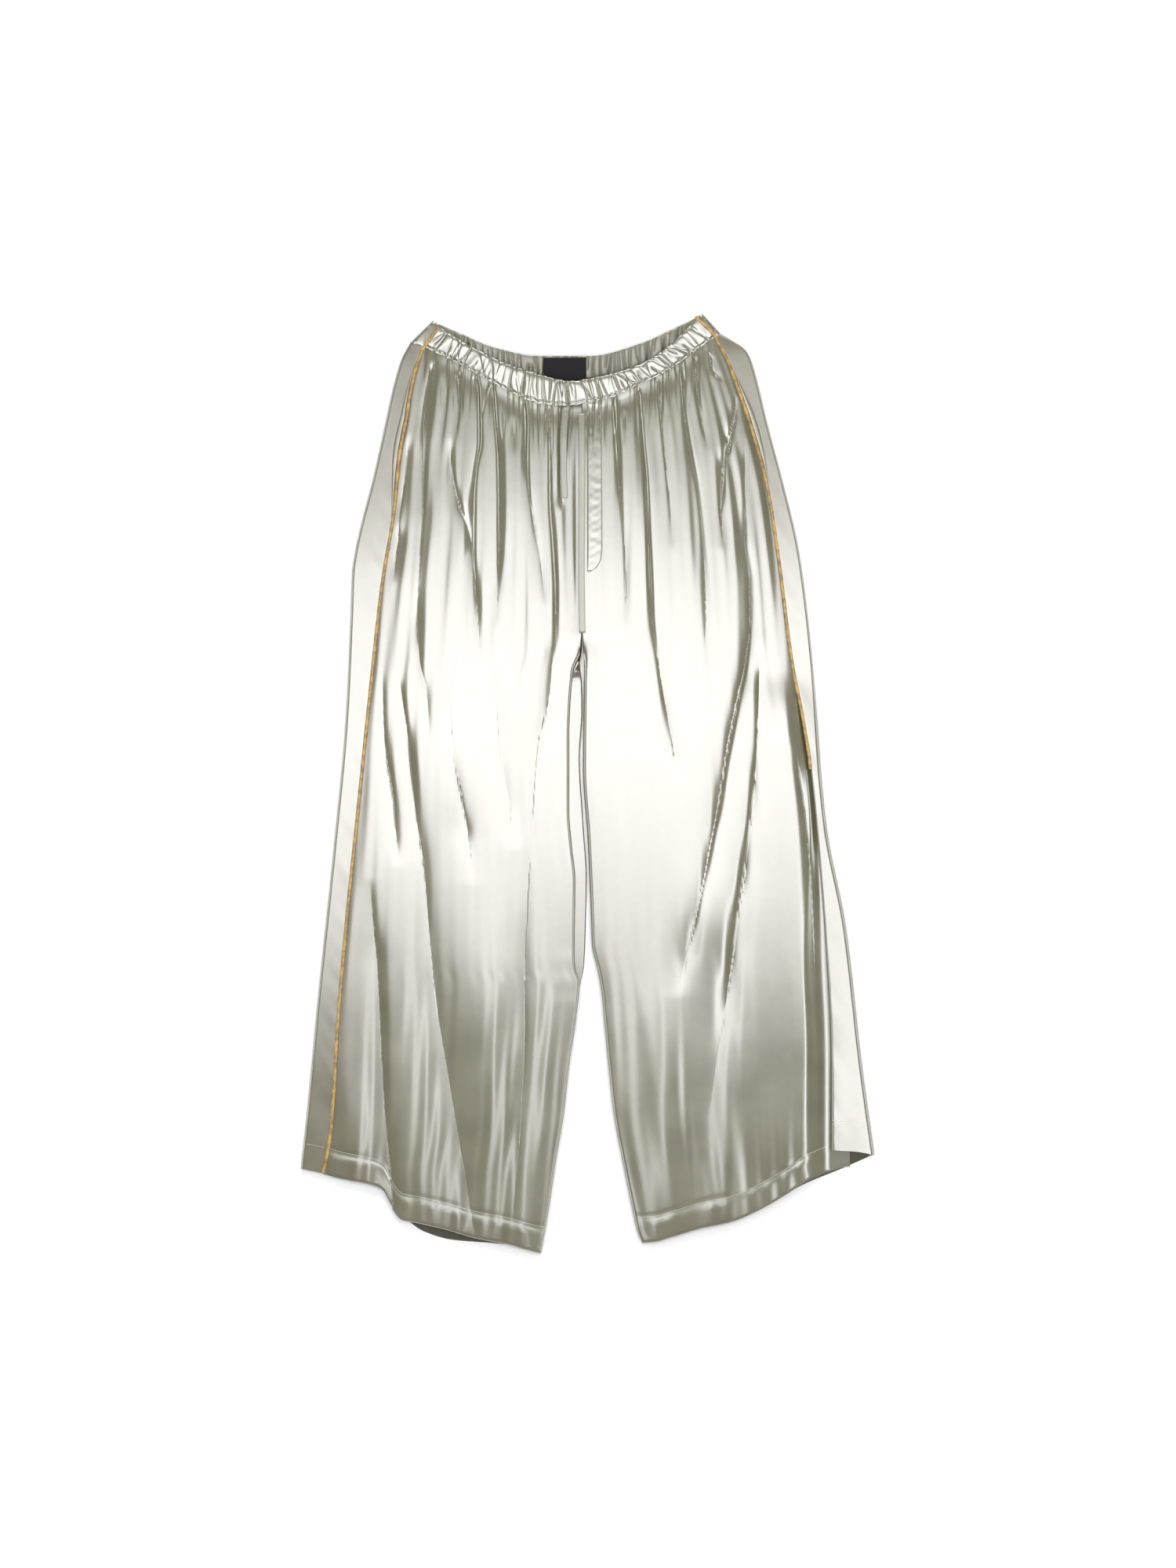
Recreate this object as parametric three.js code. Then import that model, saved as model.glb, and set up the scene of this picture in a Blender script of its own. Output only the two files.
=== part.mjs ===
import * as THREE from "three";

// Wide-leg satin lounge pants laid flat, front up, in millimetres.
// +Z is up, +Y points to the waist, +X to the right seen from above.
// The underside rests on z = 0 and the origin is the middle of the footprint.

// Cloth and trims
const panelCloth = 1.2;
const hemCloth = 2.4;
const hemDepth = 27;
const bandCloth = 2.2;
const bandPuckers = 27;
const bandPuckerHeight = 0.6;
const bandCrown = 1.2;
const lipCloth = 1;
const seamGap = 0.3;
const panelRows = 23;
const pipingRadius = 1.6;
const pipingReach = 3.1;
const trimGap = 0.5;
const ribbonWidth = 7;
const ribbonThickness = 1.4;
const labelSize = [49, 25, 0.6];
const labelPlace = [-26, 475];
const labelTurn = 0.01;

// Heights of the upper layer
const sideFold = 3;
const inseamFold = 1.5;
const inseamTuck = 2;
const inseamRoll = 2.7;
const bandFold = 3.5;
const bandHeight = 2 * bandFold;
const edgeHeight = 2 * sideFold;
const seamHeight = 8.5;
const hemHeight = 8;
const legPuff = 6;
const lappedHeight = 6;
const lowestTop = 3.6;
const lowestHem = 6;
const pleatLift = 4.5;
const pleatTuck = 0.5;
const crotchY = 143;
const crotchEase = 40;

// Outlines, each a short list of places seen from above.
// Down the legs a row is [y, x], and along the band and hems it is [x, y].
const leftOuter = smoothTable([
  [506, -203], [485, -214], [458, -222], [404, -234], [350, -246], [296, -260], [269, -266],
  [242, -270], [188, -272], [80, -277], [-82, -292], [-244, -309], [-379, -322], [-442, -329],
]);
const rightOuter = smoothTable([
  [515, 153], [507, 167], [498, 180], [489, 186], [471, 192], [414, 206], [342, 225], [269, 242],
  [188, 253], [80, 263], [-55, 275], [-163, 296], [-325, 315], [-426, 329],
]);
const leftSeam = smoothTable([
  [500, -188], [480, -195], [454, -202], [422, -207], [379, -215], [311, -222], [231, -235],
  [97, -250], [-39, -264], [-166, -277], [-271, -286], [-406, -295], [-446, -303],
]);
const rightSeam = smoothTable([
  [508, 148], [489, 158], [454, 172], [403, 189], [340, 206], [256, 219], [140, 234],
  [72, 247], [19, 255], [-46, 262], [-104, 267], [-172, 272], [-321, 279], [-420, 279],
]);
const leftInner = smoothTable([
  [461, -7], [330, -7], [200, -7], [143, -8], [106, -18], [53, -21], [-32, -21], [-112, -14], [-192, -15],
  [-235, -11], [-298, -17], [-379, -27], [-433, -36], [-487, -44], [-538, -53],
]);
const leftInnerBehind = smoothTable([
  [461, -7], [330, -7], [200, -7], [143, -7], [84, -6], [29, -9], [-44, -5], [-112, -1], [-157, -2],
  [-235, -8], [-298, -14], [-379, -24], [-433, -33], [-487, -41], [-538, -50],
]);
const rightInner = smoothTable([
  [461, -6], [330, -6], [200, -6], [134, -4], [17, -5], [-60, 0], [-151, 4], [-200, 10], [-239, 18],
  [-325, 26], [-379, 32], [-433, 42], [-487, 53], [-526, 63],
]);
const rightInnerBehind = smoothTable([
  [461, -6], [330, -6], [200, -6], [134, -5], [17, -6], [-60, -1], [-151, 3], [-200, 7], [-239, 15],
  [-325, 23], [-379, 29], [-433, 39], [-487, 50], [-526, 60],
]);
const frontBandTop = smoothTable([
  [-170, 523], [-147, 508], [-121, 494], [-96, 482], [-70, 473], [-18, 461], [8, 465],
  [34, 471], [60, 480], [85, 495], [111, 518], [124, 533],
]);
const frontBandLow = smoothTable([
  [-205, 506], [-187, 499], [-153, 483], [-126, 468], [-85, 446], [-44, 433], [3, 435],
  [26, 441], [54, 454], [81, 467], [106, 482], [126, 497], [153, 515],
]);
const backBandTop = smoothTable([
  [-178, 530], [-157, 521], [-108, 500], [-56, 490], [3, 490], [60, 504], [106, 525], [132, 538],
]);
const backBandLow = smoothTable([
  [-205, 506], [-171, 492], [-135, 482], [-82, 466], [-27, 461], [28, 468], [85, 487],
  [126, 503], [153, 515],
]);
const leftFrontHem = smoothTable([
  [-329, -442], [-280, -454], [-243, -462], [-233, -467], [-227, -478], [-219, -493],
  [-212, -499], [-196, -502], [-131, -522], [-69, -535], [-53, -538],
]);
const leftBackHem = smoothTable([
  [-329, -442], [-280, -451], [-243, -459], [-233, -464], [-219, -493], [-208, -500],
  [-189, -515], [-110, -528], [-53, -538],
]);
const rightFrontHem = smoothTable([
  [62, -526], [98, -519], [164, -502], [208, -482], [249, -456], [293, -439],
]);
const rightBackHem = smoothTable([
  [60, -526], [98, -518], [164, -500], [208, -481], [249, -460], [290, -443], [329, -426],
]);
const rightPleatHem = smoothTable([[261, -418], [307, -422], [329, -426]]);

// Creases of the front, a row per place down the crease: [y, x, depth, half width].
const creases = [
  [
    [485, -175, 2, 6], [422, -183, 4, 8], [316, -188, 5, 9], [256, -190, 3, 9],
    [173, -198, 4, 10], [35, -174, 0, 10],
  ],
  [[468, -148, 3, 6], [436, -148, 0, 6]],
  [[395, -157, 0, 7], [352, -154, 3, 8], [273, -134, 0, 9]],
  [[461, -125, 3, 6], [340, -127, 5, 9], [244, -130, 6, 10], [182, -127, 3, 10], [124, -124, 0, 10]],
  [[454, -108, 3, 6], [316, -107, 5, 8], [244, -106, 4, 9], [204, -107, 0, 9]],
  [[432, -70, 3, 6], [345, -69, 4, 8], [256, -54, 0, 10]],
  [
    [427, -44, 3, 8], [264, -39, 6, 12], [130, -42, 6, 13], [-6, -62, 4, 16],
    [-184, -70, 4, 18], [-478, -80, 1, 16],
  ],
  [
    [131, -218, 0, 9], [16, -202, 5, 12], [-92, -186, 7, 16], [-230, -168, 7, 22],
    [-367, -142, 5, 24], [-520, -124, 1, 24],
  ],
  [[125, -234, 0, 9], [-18, -223, 3, 10], [-161, -243, 3, 12], [-299, -232, 4, 12], [-480, -225, 3, 10]],
  [[116, -157, 0, 12], [-18, -140, 4, 14], [-75, -132, 0, 14]],
  [[439, 30, 3, 6], [352, 37, 4, 8], [268, 42, 4, 9], [152, 45, 0, 9]],
  [[441, 59, 3, 6], [340, 69, 6, 9], [212, 74, 6, 11], [89, 94, 3, 12], [0, 104, 0, 12]],
  [[461, 81, 3, 6], [364, 90, 4, 8], [290, 97, 0, 9]],
  [[471, 107, 3, 6], [389, 117, 4, 9], [268, 133, 4, 10], [180, 136, 0, 11]],
  [[428, 166, 0, 7], [383, 153, 4, 9], [310, 156, 0, 9]],
  [
    [395, 182, 0, 9], [268, 185, 6, 13], [177, 185, 6, 14], [62, 162, 6, 16],
    [-91, 143, 5, 18], [-290, 97, 0, 20],
  ],
  [[154, 205, 0, 8], [16, 191, 4, 11], [-91, 178, 6, 13], [-207, 166, 6, 14], [-345, 140, 0, 14]],
  [[95, 234, 0, 10], [16, 244, 4, 11], [-91, 258, 5, 12], [-275, 270, 5, 13], [-433, 276, 3, 13]],
  [[420, -9, 1, 12], [300, -8, 3, 14], [150, -8, 2, 12], [120, -8, 0, 12]],
].map(creaseShape);

// Reads a smooth value from a short table of [key, value] rows.
function smoothTable(rows) {
  const sorted = [...rows].sort((a, b) => a[0] - b[0]);
  const keys = sorted.map((row) => row[0]);
  const values = sorted.map((row) => row[1]);
  const curve = new THREE.CubicInterpolant(keys, values, 1);
  return (key) => curve.evaluate(key)[0];
}

// Turns the rows of one crease into its place, depth and half width at any y.
function creaseShape(rows) {
  const column = (index) => smoothTable(rows.map((row) => [row[0], row[index]]));
  const levels = rows.map((row) => row[0]);
  const [x, depth, width] = [column(1), column(2), column(3)];
  return { x, depth, width, top: Math.max(...levels), low: Math.min(...levels) };
}

function mix(a, b, share) {
  return a + (b - a) * share;
}

// Rises from 0 at an edge to 1 well inside it.
function rise(distance, reach) {
  return 1 - Math.exp(-Math.max(distance, 0) / reach);
}

// How far the legs have parted: 0 above the crotch, 1 below it.
function parted(y) {
  return THREE.MathUtils.smoothstep(crotchY - y, -crotchEase / 2, crotchEase / 2);
}

function creaseDepth(x, y) {
  let depth = 0;
  for (const crease of creases) {
    if (y > crease.top || y < crease.low) continue;
    const across = (x - crease.x(y)) / crease.width(y);
    depth += Math.max(crease.depth(y), 0) * Math.exp(-across * across);
  }
  return depth;
}

// Height of the front's upper face.
function topHeight(x, y) {
  const onLeft = x < leftInner(y) + 2;
  const fromSeam = onLeft ? x - leftSeam(y) : rightSeam(y) - x;
  const fromInseam = onLeft ? leftInner(y) - x : x - rightInner(y);
  const hem = onLeft ? leftFrontHem(x) : rightFrontHem(x);
  const fromWaist = frontBandLow(x) - y;
  const fromHem = y - hem;
  const legs = parted(y);
  const atInseam = mix(1, rise(fromInseam, 18), legs);
  const full = mix(edgeHeight, seamHeight + legPuff * rise(fromSeam, 40), atInseam);
  const atHem = mix(Math.min(hemHeight, full), full, rise(fromHem, 45));
  const body = mix(bandHeight, atHem, rise(fromWaist, 30));
  const pressed = rise(fromInseam, 6) * legs + 1 - legs;
  const lowest = mix(lowestHem, lowestTop, rise(fromHem - hemDepth, 12));
  const creased = Math.max(body - creaseDepth(x, y) * pressed, lowest);
  const underPleat = onLeft ? 0 : THREE.MathUtils.smoothstep(12 - fromSeam, 0, 12) * lapLevel(y);
  return mix(creased, lappedHeight, underPleat);
}

// How far the right back panel laps over the front, from 0 above to 1 below.
function pleated(y) {
  return THREE.MathUtils.smoothstep(65 - y, 0, 60);
}

// The two layers part in height a little above the place where they lap.
function lapLevel(y) {
  return THREE.MathUtils.smoothstep(130 - y, 0, 90);
}

// Walks round a bend of the given length, turned by the given angle, to q from 0 to 1.
function bend(length, angle, q) {
  const curl = Math.max(angle, 0.002) / length;
  const along = Math.sin(curl * length * q) / curl;
  const up = (1 - Math.cos(curl * length * q)) / curl;
  return { along, up };
}

// Closes a grid of points on the outer face of a cloth into one solid.
// The columns run so that the outer face's normal points out, and the inner face lies below it.
function clothSolid(columns, rows, pointAt, thicknessAt) {
  const outer = [];
  for (let j = 0; j <= rows; j += 1) {
    for (let i = 0; i <= columns; i += 1) outer.push(pointAt(i, j / rows));
  }
  const at = (i, j) => outer[j * (columns + 1) + i];
  const inner = [];
  for (let j = 0; j <= rows; j += 1) {
    for (let i = 0; i <= columns; i += 1) {
      const across = at(Math.min(i + 1, columns), j).clone().sub(at(Math.max(i - 1, 0), j));
      const down = at(i, Math.min(j + 1, rows)).clone().sub(at(i, Math.max(j - 1, 0)));
      const inward = across.cross(down).normalize();
      inner.push(at(i, j).clone().addScaledVector(inward, thicknessAt(at(i, j), i)));
    }
  }
  const points = [...outer, ...inner];
  const offset = outer.length;
  const faces = [];
  const quad = (a, b, c, d) => faces.push(a, b, c, a, c, d);
  const index = (i, j) => j * (columns + 1) + i;
  for (let j = 0; j < rows; j += 1) {
    for (let i = 0; i < columns; i += 1) {
      quad(index(i, j), index(i, j + 1), index(i + 1, j + 1), index(i + 1, j));
      quad(
        offset + index(i, j), offset + index(i + 1, j),
        offset + index(i + 1, j + 1), offset + index(i, j + 1),
      );
    }
  }
  const rim = [];
  for (let i = 0; i < columns; i += 1) rim.push(index(i, 0));
  for (let j = 0; j < rows; j += 1) rim.push(index(columns, j));
  for (let i = columns; i > 0; i -= 1) rim.push(index(i, rows));
  for (let j = rows; j > 0; j -= 1) rim.push(index(0, j));
  rim.forEach((from, place) => {
    const to = rim[(place + 1) % rim.length];
    quad(from, to, offset + to, offset + from);
  });
  const geometry = new THREE.BufferGeometry();
  geometry.setFromPoints(points);
  geometry.setIndex(faces);
  geometry.computeVertexNormals();
  return geometry;
}

// Finds the point of a panel at share s across and t down, between its curved ends.
function placeDown(edgeX, topY, lowY, t) {
  let y = mix(440, -490, t);
  let x = edgeX(y);
  for (let pass = 0; pass < 12; pass += 1) {
    x = edgeX(y);
    y = mix(y, mix(topY(x), lowY(x), t), 0.7);
  }
  return [edgeX(y), y];
}

function hemThickness(low, plain) {
  return (point) => (point.y - low(point.x) < hemDepth ? hemCloth : plain);
}

const satin = { color: 0xc9c4b6, roughness: 0.32, metalness: 0.35 };
const piping = { color: 0x96702e, roughness: 0.35, metalness: 0.3 };
const blackWeave = { color: 0x17171a, roughness: 0.8, metalness: 0 };

function addPiece(group, name, geometry, look) {
  const mesh = new THREE.Mesh(geometry, new THREE.MeshStandardMaterial(look));
  mesh.name = name;
  group.add(mesh);
}

// Front leg panel: from the side seam across the top, then rolled down at the inseam.
function frontPanel(side) {
  const left = side === "left";
  const seam = left ? leftSeam : rightSeam;
  const inner = left ? leftInner : rightInner;
  const low = left ? leftFrontHem : rightFrontHem;
  const outward = left ? -1 : 1;
  const flatColumns = 17;
  const rollColumns = 3;
  const columns = flatColumns + rollColumns;
  const rollLength = (inseamRoll * Math.PI) / 2;
  const pointAt = (i, t) => {
    const step = left ? i : columns - i;
    const q = Math.max(step - flatColumns, 0) / rollColumns;
    const rolled = (y) => bend(rollLength, (parted(y) * Math.PI) / 2, q);
    const edgeX = (y) => {
      const room = rightOuter(y) - 2 * sideFold - seam(y);
      const tucked = left ? 0 : pleated(y) * room * pleatTuck;
      const start = seam(y) + outward * (tucked - seamGap);
      const whole = bend(rollLength, (parted(y) * Math.PI) / 2, 1).along;
      const stop = inner(y) + outward * (whole + (seamGap / 2) * (1 - parted(y)));
      return mix(start, stop, Math.min(step / flatColumns, 1)) - outward * rolled(y).along;
    };
    const [x, y] = placeDown(edgeX, (at) => frontBandLow(at) - 2 * seamGap, low, t);
    const flatX = x + outward * rolled(y).along;
    return new THREE.Vector3(x, y, topHeight(flatX, y) - rolled(y).up);
  };
  return clothSolid(columns, panelRows, pointAt, hemThickness(low, panelCloth));
}

// Height of the back panel's strip on the upper side, between the side fold and the seam.
function stripHeight(side, x, y) {
  const left = side === "left";
  const outer = left ? leftOuter(y) + sideFold : rightOuter(y) - sideFold;
  const seam = left ? leftSeam(y) : rightSeam(y);
  const lift = left ? 0 : pleatLift * lapLevel(y);
  const share = THREE.MathUtils.clamp((x - outer) / (seam - outer), 0, 1);
  const atSeam = mix(bandHeight, seamHeight, rise(frontBandLow(seam) - y, 30)) + lift;
  return mix(edgeHeight, atSeam, Math.sqrt(share));
}

// Back leg panel: a small wrap at the inseam, flat on the surface, round the side fold and
// forward over the top to the seam.
function backPanel(side) {
  const left = side === "left";
  const outer = left ? leftOuter : rightOuter;
  const seam = left ? leftSeam : rightSeam;
  const inner = left ? leftInnerBehind : rightInnerBehind;
  const front = left ? leftInner : rightInner;
  const lowFloor = left ? leftBackHem : rightBackHem;
  const lowStrip = left ? leftFrontHem : rightPleatHem;
  const outward = left ? -1 : 1;
  const counts = { tuck: 1, inseam: 2, floor: 7, side: 4, strip: 2, roll: 2 };
  const columns = Object.values(counts).reduce((sum, count) => sum + count);
  const inseamLength = Math.PI * inseamFold;
  const rollLength = 2.4;
  const section = (step, y) => {
    const legs = parted(y);
    const wrap = Math.max(Math.abs(inner(y) - front(y)) - inseamFold, inseamTuck);
    const tuck = mix(inseamTuck, wrap, legs);
    const turn = Math.PI * legs;
    const wrapped = bend(inseamLength, turn, 1);
    const reach = legs * inseamFold + (1 - legs) * (inseamLength + tuck + seamGap / 2);
    const floorStart = inner(y) + outward * reach;
    const floorStop = outer(y) - outward * sideFold;
    let rest = step;
    if (rest <= counts.tuck) {
      const flap = tuck * (1 - rest / counts.tuck);
      return {
        x: floorStart - outward * (wrapped.along + flap * Math.cos(turn)),
        z: wrapped.up + flap * Math.sin(turn),
      };
    }
    rest -= counts.tuck;
    if (rest <= counts.inseam) {
      const round = bend(inseamLength, turn, 1 - rest / counts.inseam);
      return { x: floorStart - outward * round.along, z: round.up };
    }
    rest -= counts.inseam;
    if (rest <= counts.floor) return { x: mix(floorStart, floorStop, rest / counts.floor), z: 0 };
    rest -= counts.floor;
    if (rest <= counts.side) {
      const round = bend(Math.PI * sideFold, Math.PI, rest / counts.side);
      return { x: floorStop + outward * round.along, z: round.up };
    }
    rest -= counts.side;
    const lapped = left ? 0 : pleated(y);
    const whole = bend(rollLength, (lapped * Math.PI) / 2, 1).along;
    const stripStop = seam(y) + outward * (whole + seamGap);
    const share = Math.min(rest / counts.strip, 1);
    const flatX = mix(floorStop, stripStop, share);
    const round = bend(rollLength, (lapped * Math.PI) / 2, Math.max(rest - counts.strip, 0) / counts.roll);
    return { x: flatX - outward * round.along, z: stripHeight(side, flatX, y) - round.up };
  };
  const floorEnd = counts.tuck + counts.inseam + counts.floor;
  const pointAt = (i, t) => {
    const step = left ? i : columns - i;
    const overTop = THREE.MathUtils.clamp((step - floorEnd) / counts.side, 0, 1);
    const topY = (x) => mix(backBandLow(x), frontBandLow(x), overTop) - 3 * seamGap;
    const lowY = (x) => mix(lowFloor(x), lowStrip(x), overTop);
    const [x, y] = placeDown((at) => section(step, at).x, topY, lowY, t);
    return new THREE.Vector3(x, y, section(step, y).z);
  };
  return clothSolid(columns, panelRows, pointAt, () => panelCloth);
}

// Waistband: share s runs along the band and t down it.
function bandPoint(topX, lowX, topY, lowY, t) {
  return [mix(topX, lowX, t), mix(topY(topX), lowY(lowX), t)];
}

function frontBand() {
  const columns = bandPuckers * 2;
  const topEnds = [-169.6, 123.6];
  const lowEnds = [-187, 147.6];
  const pointAt = (i, t) => {
    const s = i / columns;
    const [x, y] = bandPoint(mix(...topEnds, s), mix(...lowEnds, s), frontBandTop, frontBandLow, t);
    const pucker = i % 2 ? bandPuckerHeight : 0;
    return new THREE.Vector3(x, y, bandHeight + (bandCrown + pucker) * Math.sin(Math.PI * t));
  };
  return clothSolid(columns, 3, pointAt, () => bandCloth);
}

function backBand() {
  const counts = { strip: 2, side: 4, floor: 18 };
  const columns = 2 * counts.strip + 2 * counts.side + counts.floor;
  const rightEnds = [123.6 + seamGap, 147.6 + seamGap];
  const leftEnds = [-169.6 - seamGap, -187 - seamGap];
  const rightFold = [132, 153];
  const leftFold = [-178, -203];
  const foldLength = Math.PI * bandFold;
  const pointAt = (i, t) => {
    const rightHalf = i <= columns / 2;
    const step = rightHalf ? i : columns - i;
    const ends = rightHalf ? rightEnds : leftEnds;
    const fold = rightHalf ? rightFold : leftFold;
    const outward = rightHalf ? 1 : -1;
    const under = THREE.MathUtils.clamp((step - counts.strip) / counts.side, 0, 1);
    const low = (x) => mix(frontBandLow(x), backBandLow(x), under);
    if (step < counts.strip) {
      const share = step / counts.strip;
      const topX = mix(ends[0], fold[0] - outward * bandFold, share);
      const lowX = mix(ends[1], fold[1] - outward * bandFold, share);
      const [x, y] = bandPoint(topX, lowX, backBandTop, low, t);
      return new THREE.Vector3(x, y, bandHeight);
    }
    if (step <= counts.strip + counts.side) {
      const round = bend(foldLength, Math.PI, (step - counts.strip) / counts.side);
      const topX = fold[0] - outward * (bandFold - round.along);
      const lowX = fold[1] - outward * (bandFold - round.along);
      const [x, y] = bandPoint(topX, lowX, backBandTop, low, t);
      return new THREE.Vector3(x, y, bandHeight - round.up);
    }
    const share = (i - counts.strip - counts.side) / counts.floor;
    const topX = mix(rightFold[0] - bandFold, leftFold[0] + bandFold, share);
    const lowX = mix(rightFold[1] - bandFold, leftFold[1] + bandFold, share);
    const [x, y] = bandPoint(topX, lowX, backBandTop, backBandLow, t);
    return new THREE.Vector3(x, y, 0);
  };
  return clothSolid(columns, 2, pointAt, () => bandCloth);
}

// Trims lie on the front, so each asks how high the cloth is under its width.
function highestUnder(x, y, halfWidth) {
  let height = 0;
  for (let share = -1; share <= 1; share += 0.25) {
    height = Math.max(height, upperFace(x + share * halfWidth, y));
  }
  return height;
}

// Upper face of whatever lies on top: band, front panel or back panel strip.
function upperFace(x, y) {
  if (y > frontBandLow(x)) return bandHeight + bandCrown + bandPuckerHeight;
  if (x < leftSeam(y)) return stripHeight("left", x, y);
  if (x > rightSeam(y)) return stripHeight("right", x, y);
  return topHeight(x, y);
}

// Tube or flat ribbon along a route, with a round-cornered section.
function routeSolid(route, steps, width, height) {
  const sides = 8;
  const shape = new THREE.Shape();
  for (let k = 0; k < sides; k += 1) {
    const angle = ((k + 0.5) * 2 * Math.PI) / sides;
    const corner = 1 / Math.cos(Math.PI / sides);
    const x = (Math.cos(angle) * corner * height) / 2;
    const y = (Math.sin(angle) * corner * width) / 2;
    if (k === 0) shape.moveTo(x, y);
    else shape.lineTo(x, y);
  }
  return new THREE.ExtrudeGeometry(shape, { steps, bevelEnabled: false, extrudePath: route });
}

function sidePiping(side) {
  const left = side === "left";
  const seam = left ? leftSeam : rightSeam;
  const bandTop = left ? [-169.8, 521] : [123.8, 533];
  const bandLow = left ? [-187, 500] : [147.8, 509];
  const stop = left ? -446 : 26;
  const count = left ? 30 : 18;
  const points = [new THREE.Vector3(...bandTop, 0), new THREE.Vector3(...bandLow, 0)];
  for (let k = 1; k <= count; k += 1) {
    const y = mix(bandLow[1] - 4, stop, k / count);
    points.push(new THREE.Vector3(seam(y), y, 0));
  }
  for (const point of points) {
    const here = highestUnder(point.x, point.y, pipingReach);
    const below = highestUnder(point.x, point.y - 6, pipingReach);
    point.z = Math.max(here, below) + pipingRadius + trimGap;
  }
  const route = new THREE.CatmullRomCurve3(points);
  return routeSolid(route, left ? 44 : 28, 2 * pipingRadius, 2 * pipingRadius);
}

// Routes of the two free ends, a row per place: [x, y, lift off the cloth].
const shortEnd = [[-25, 428, 1], [-27, 400, 0.5], [-27.5, 364, 0], [-26, 327, 0]];
const longEnd = [
  [-7, 424, 1], [-6.5, 380, 0.5], [-6.5, 320, 0], [-7, 260, 0], [-6.5, 205, 0], [-6, 172, 0],
];

// A drawstring end leaves the band and lies down the front.
function drawstring(places) {
  const points = places.map(([x, y, lift]) => {
    const height = highestUnder(x, y, ribbonWidth / 2 + 1) + ribbonThickness / 2 + trimGap + lift;
    return new THREE.Vector3(x, y, height);
  });
  const route = new THREE.CatmullRomCurve3(points);
  return routeSolid(route, 3 * places.length, ribbonThickness, ribbonWidth);
}

// Mock fly: a stitched flap on the right front with a round lower corner.
function flyFlap() {
  const foldX = -0.5;
  const edge = smoothTable([[434, 16], [270, 17], [258, 16], [248, 11], [242, 4]]);
  const pointAt = (i, t) => {
    const y = mix(431, 242, 1 - (1 - t) ** 1.4);
    const x = mix(foldX, edge(y), i / 4);
    return new THREE.Vector3(x, y, topHeight(x, y) + panelCloth + trimGap);
  };
  return clothSolid(4, 16, pointAt, () => panelCloth);
}

// Facing of a side pocket, seen as a narrow lip beside the piping.
function pocketLip(side) {
  const left = side === "left";
  const seam = left ? leftSeam : rightSeam;
  const outward = left ? -1 : 1;
  const [top, low] = left ? [482, 306] : [472, 345];
  const width = smoothTable([[top, 3], [mix(top, low, 0.5), 8], [low, 3]]);
  const pointAt = (i, t) => {
    const y = mix(top, low, t);
    const share = left ? 1 - i / 2 : i / 2;
    const x = seam(y) + outward * (2.2 + width(y) * share);
    return new THREE.Vector3(x, y, stripHeight(side, x, y) + lipCloth + trimGap);
  };
  return clothSolid(2, 12, pointAt, () => lipCloth);
}

function bandLabel() {
  const geometry = new THREE.BoxGeometry(...labelSize);
  geometry.rotateZ(labelTurn);
  geometry.translate(labelPlace[0], labelPlace[1], bandCloth + seamGap + labelSize[2] / 2);
  return geometry;
}

const pants = new THREE.Group();
addPiece(pants, "left_front_panel", frontPanel("left"), satin);
addPiece(pants, "right_front_panel", frontPanel("right"), satin);
addPiece(pants, "left_back_panel", backPanel("left"), satin);
addPiece(pants, "right_back_panel", backPanel("right"), satin);
addPiece(pants, "front_waistband", frontBand(), satin);
addPiece(pants, "back_waistband", backBand(), satin);
addPiece(pants, "fly_flap", flyFlap(), satin);
addPiece(pants, "left_pocket_lip", pocketLip("left"), satin);
addPiece(pants, "right_pocket_lip", pocketLip("right"), satin);
addPiece(pants, "left_piping", sidePiping("left"), piping);
addPiece(pants, "right_piping", sidePiping("right"), piping);
addPiece(pants, "drawstring_short", drawstring(shortEnd), satin);
addPiece(pants, "drawstring_long", drawstring(longEnd), satin);
addPiece(pants, "band_label", bandLabel(), blackWeave);

export default pants;
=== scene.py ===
import math
import bpy
import numpy as np
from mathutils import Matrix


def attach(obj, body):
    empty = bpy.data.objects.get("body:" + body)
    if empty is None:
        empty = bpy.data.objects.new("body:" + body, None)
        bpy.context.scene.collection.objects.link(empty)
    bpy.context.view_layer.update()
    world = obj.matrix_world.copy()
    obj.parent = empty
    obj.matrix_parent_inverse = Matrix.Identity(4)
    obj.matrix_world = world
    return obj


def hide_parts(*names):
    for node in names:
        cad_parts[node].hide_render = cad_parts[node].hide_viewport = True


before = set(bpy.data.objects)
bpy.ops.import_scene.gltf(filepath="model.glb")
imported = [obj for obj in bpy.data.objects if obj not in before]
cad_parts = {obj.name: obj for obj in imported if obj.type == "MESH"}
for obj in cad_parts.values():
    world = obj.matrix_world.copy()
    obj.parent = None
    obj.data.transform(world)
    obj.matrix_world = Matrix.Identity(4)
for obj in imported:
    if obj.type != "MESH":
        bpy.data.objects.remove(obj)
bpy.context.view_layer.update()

mm = 0.001    # sizes below are in millimetres, the scene is in metres

# Camera: straight above the flat garment, like the photograph
cameraSettings = {"height": 4.25, "lens": 85, "sensor": 36, "center": (0.45 * mm, -0.9 * mm)}

camera = bpy.data.objects.new("camera", bpy.data.cameras.new("camera"))
bpy.context.scene.collection.objects.link(camera)
camera.data.lens = cameraSettings["lens"]
camera.data.sensor_width = cameraSettings["sensor"]
camera.location = (*cameraSettings["center"], cameraSettings["height"])
bpy.context.scene.camera = camera
print("camera placed")


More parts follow.
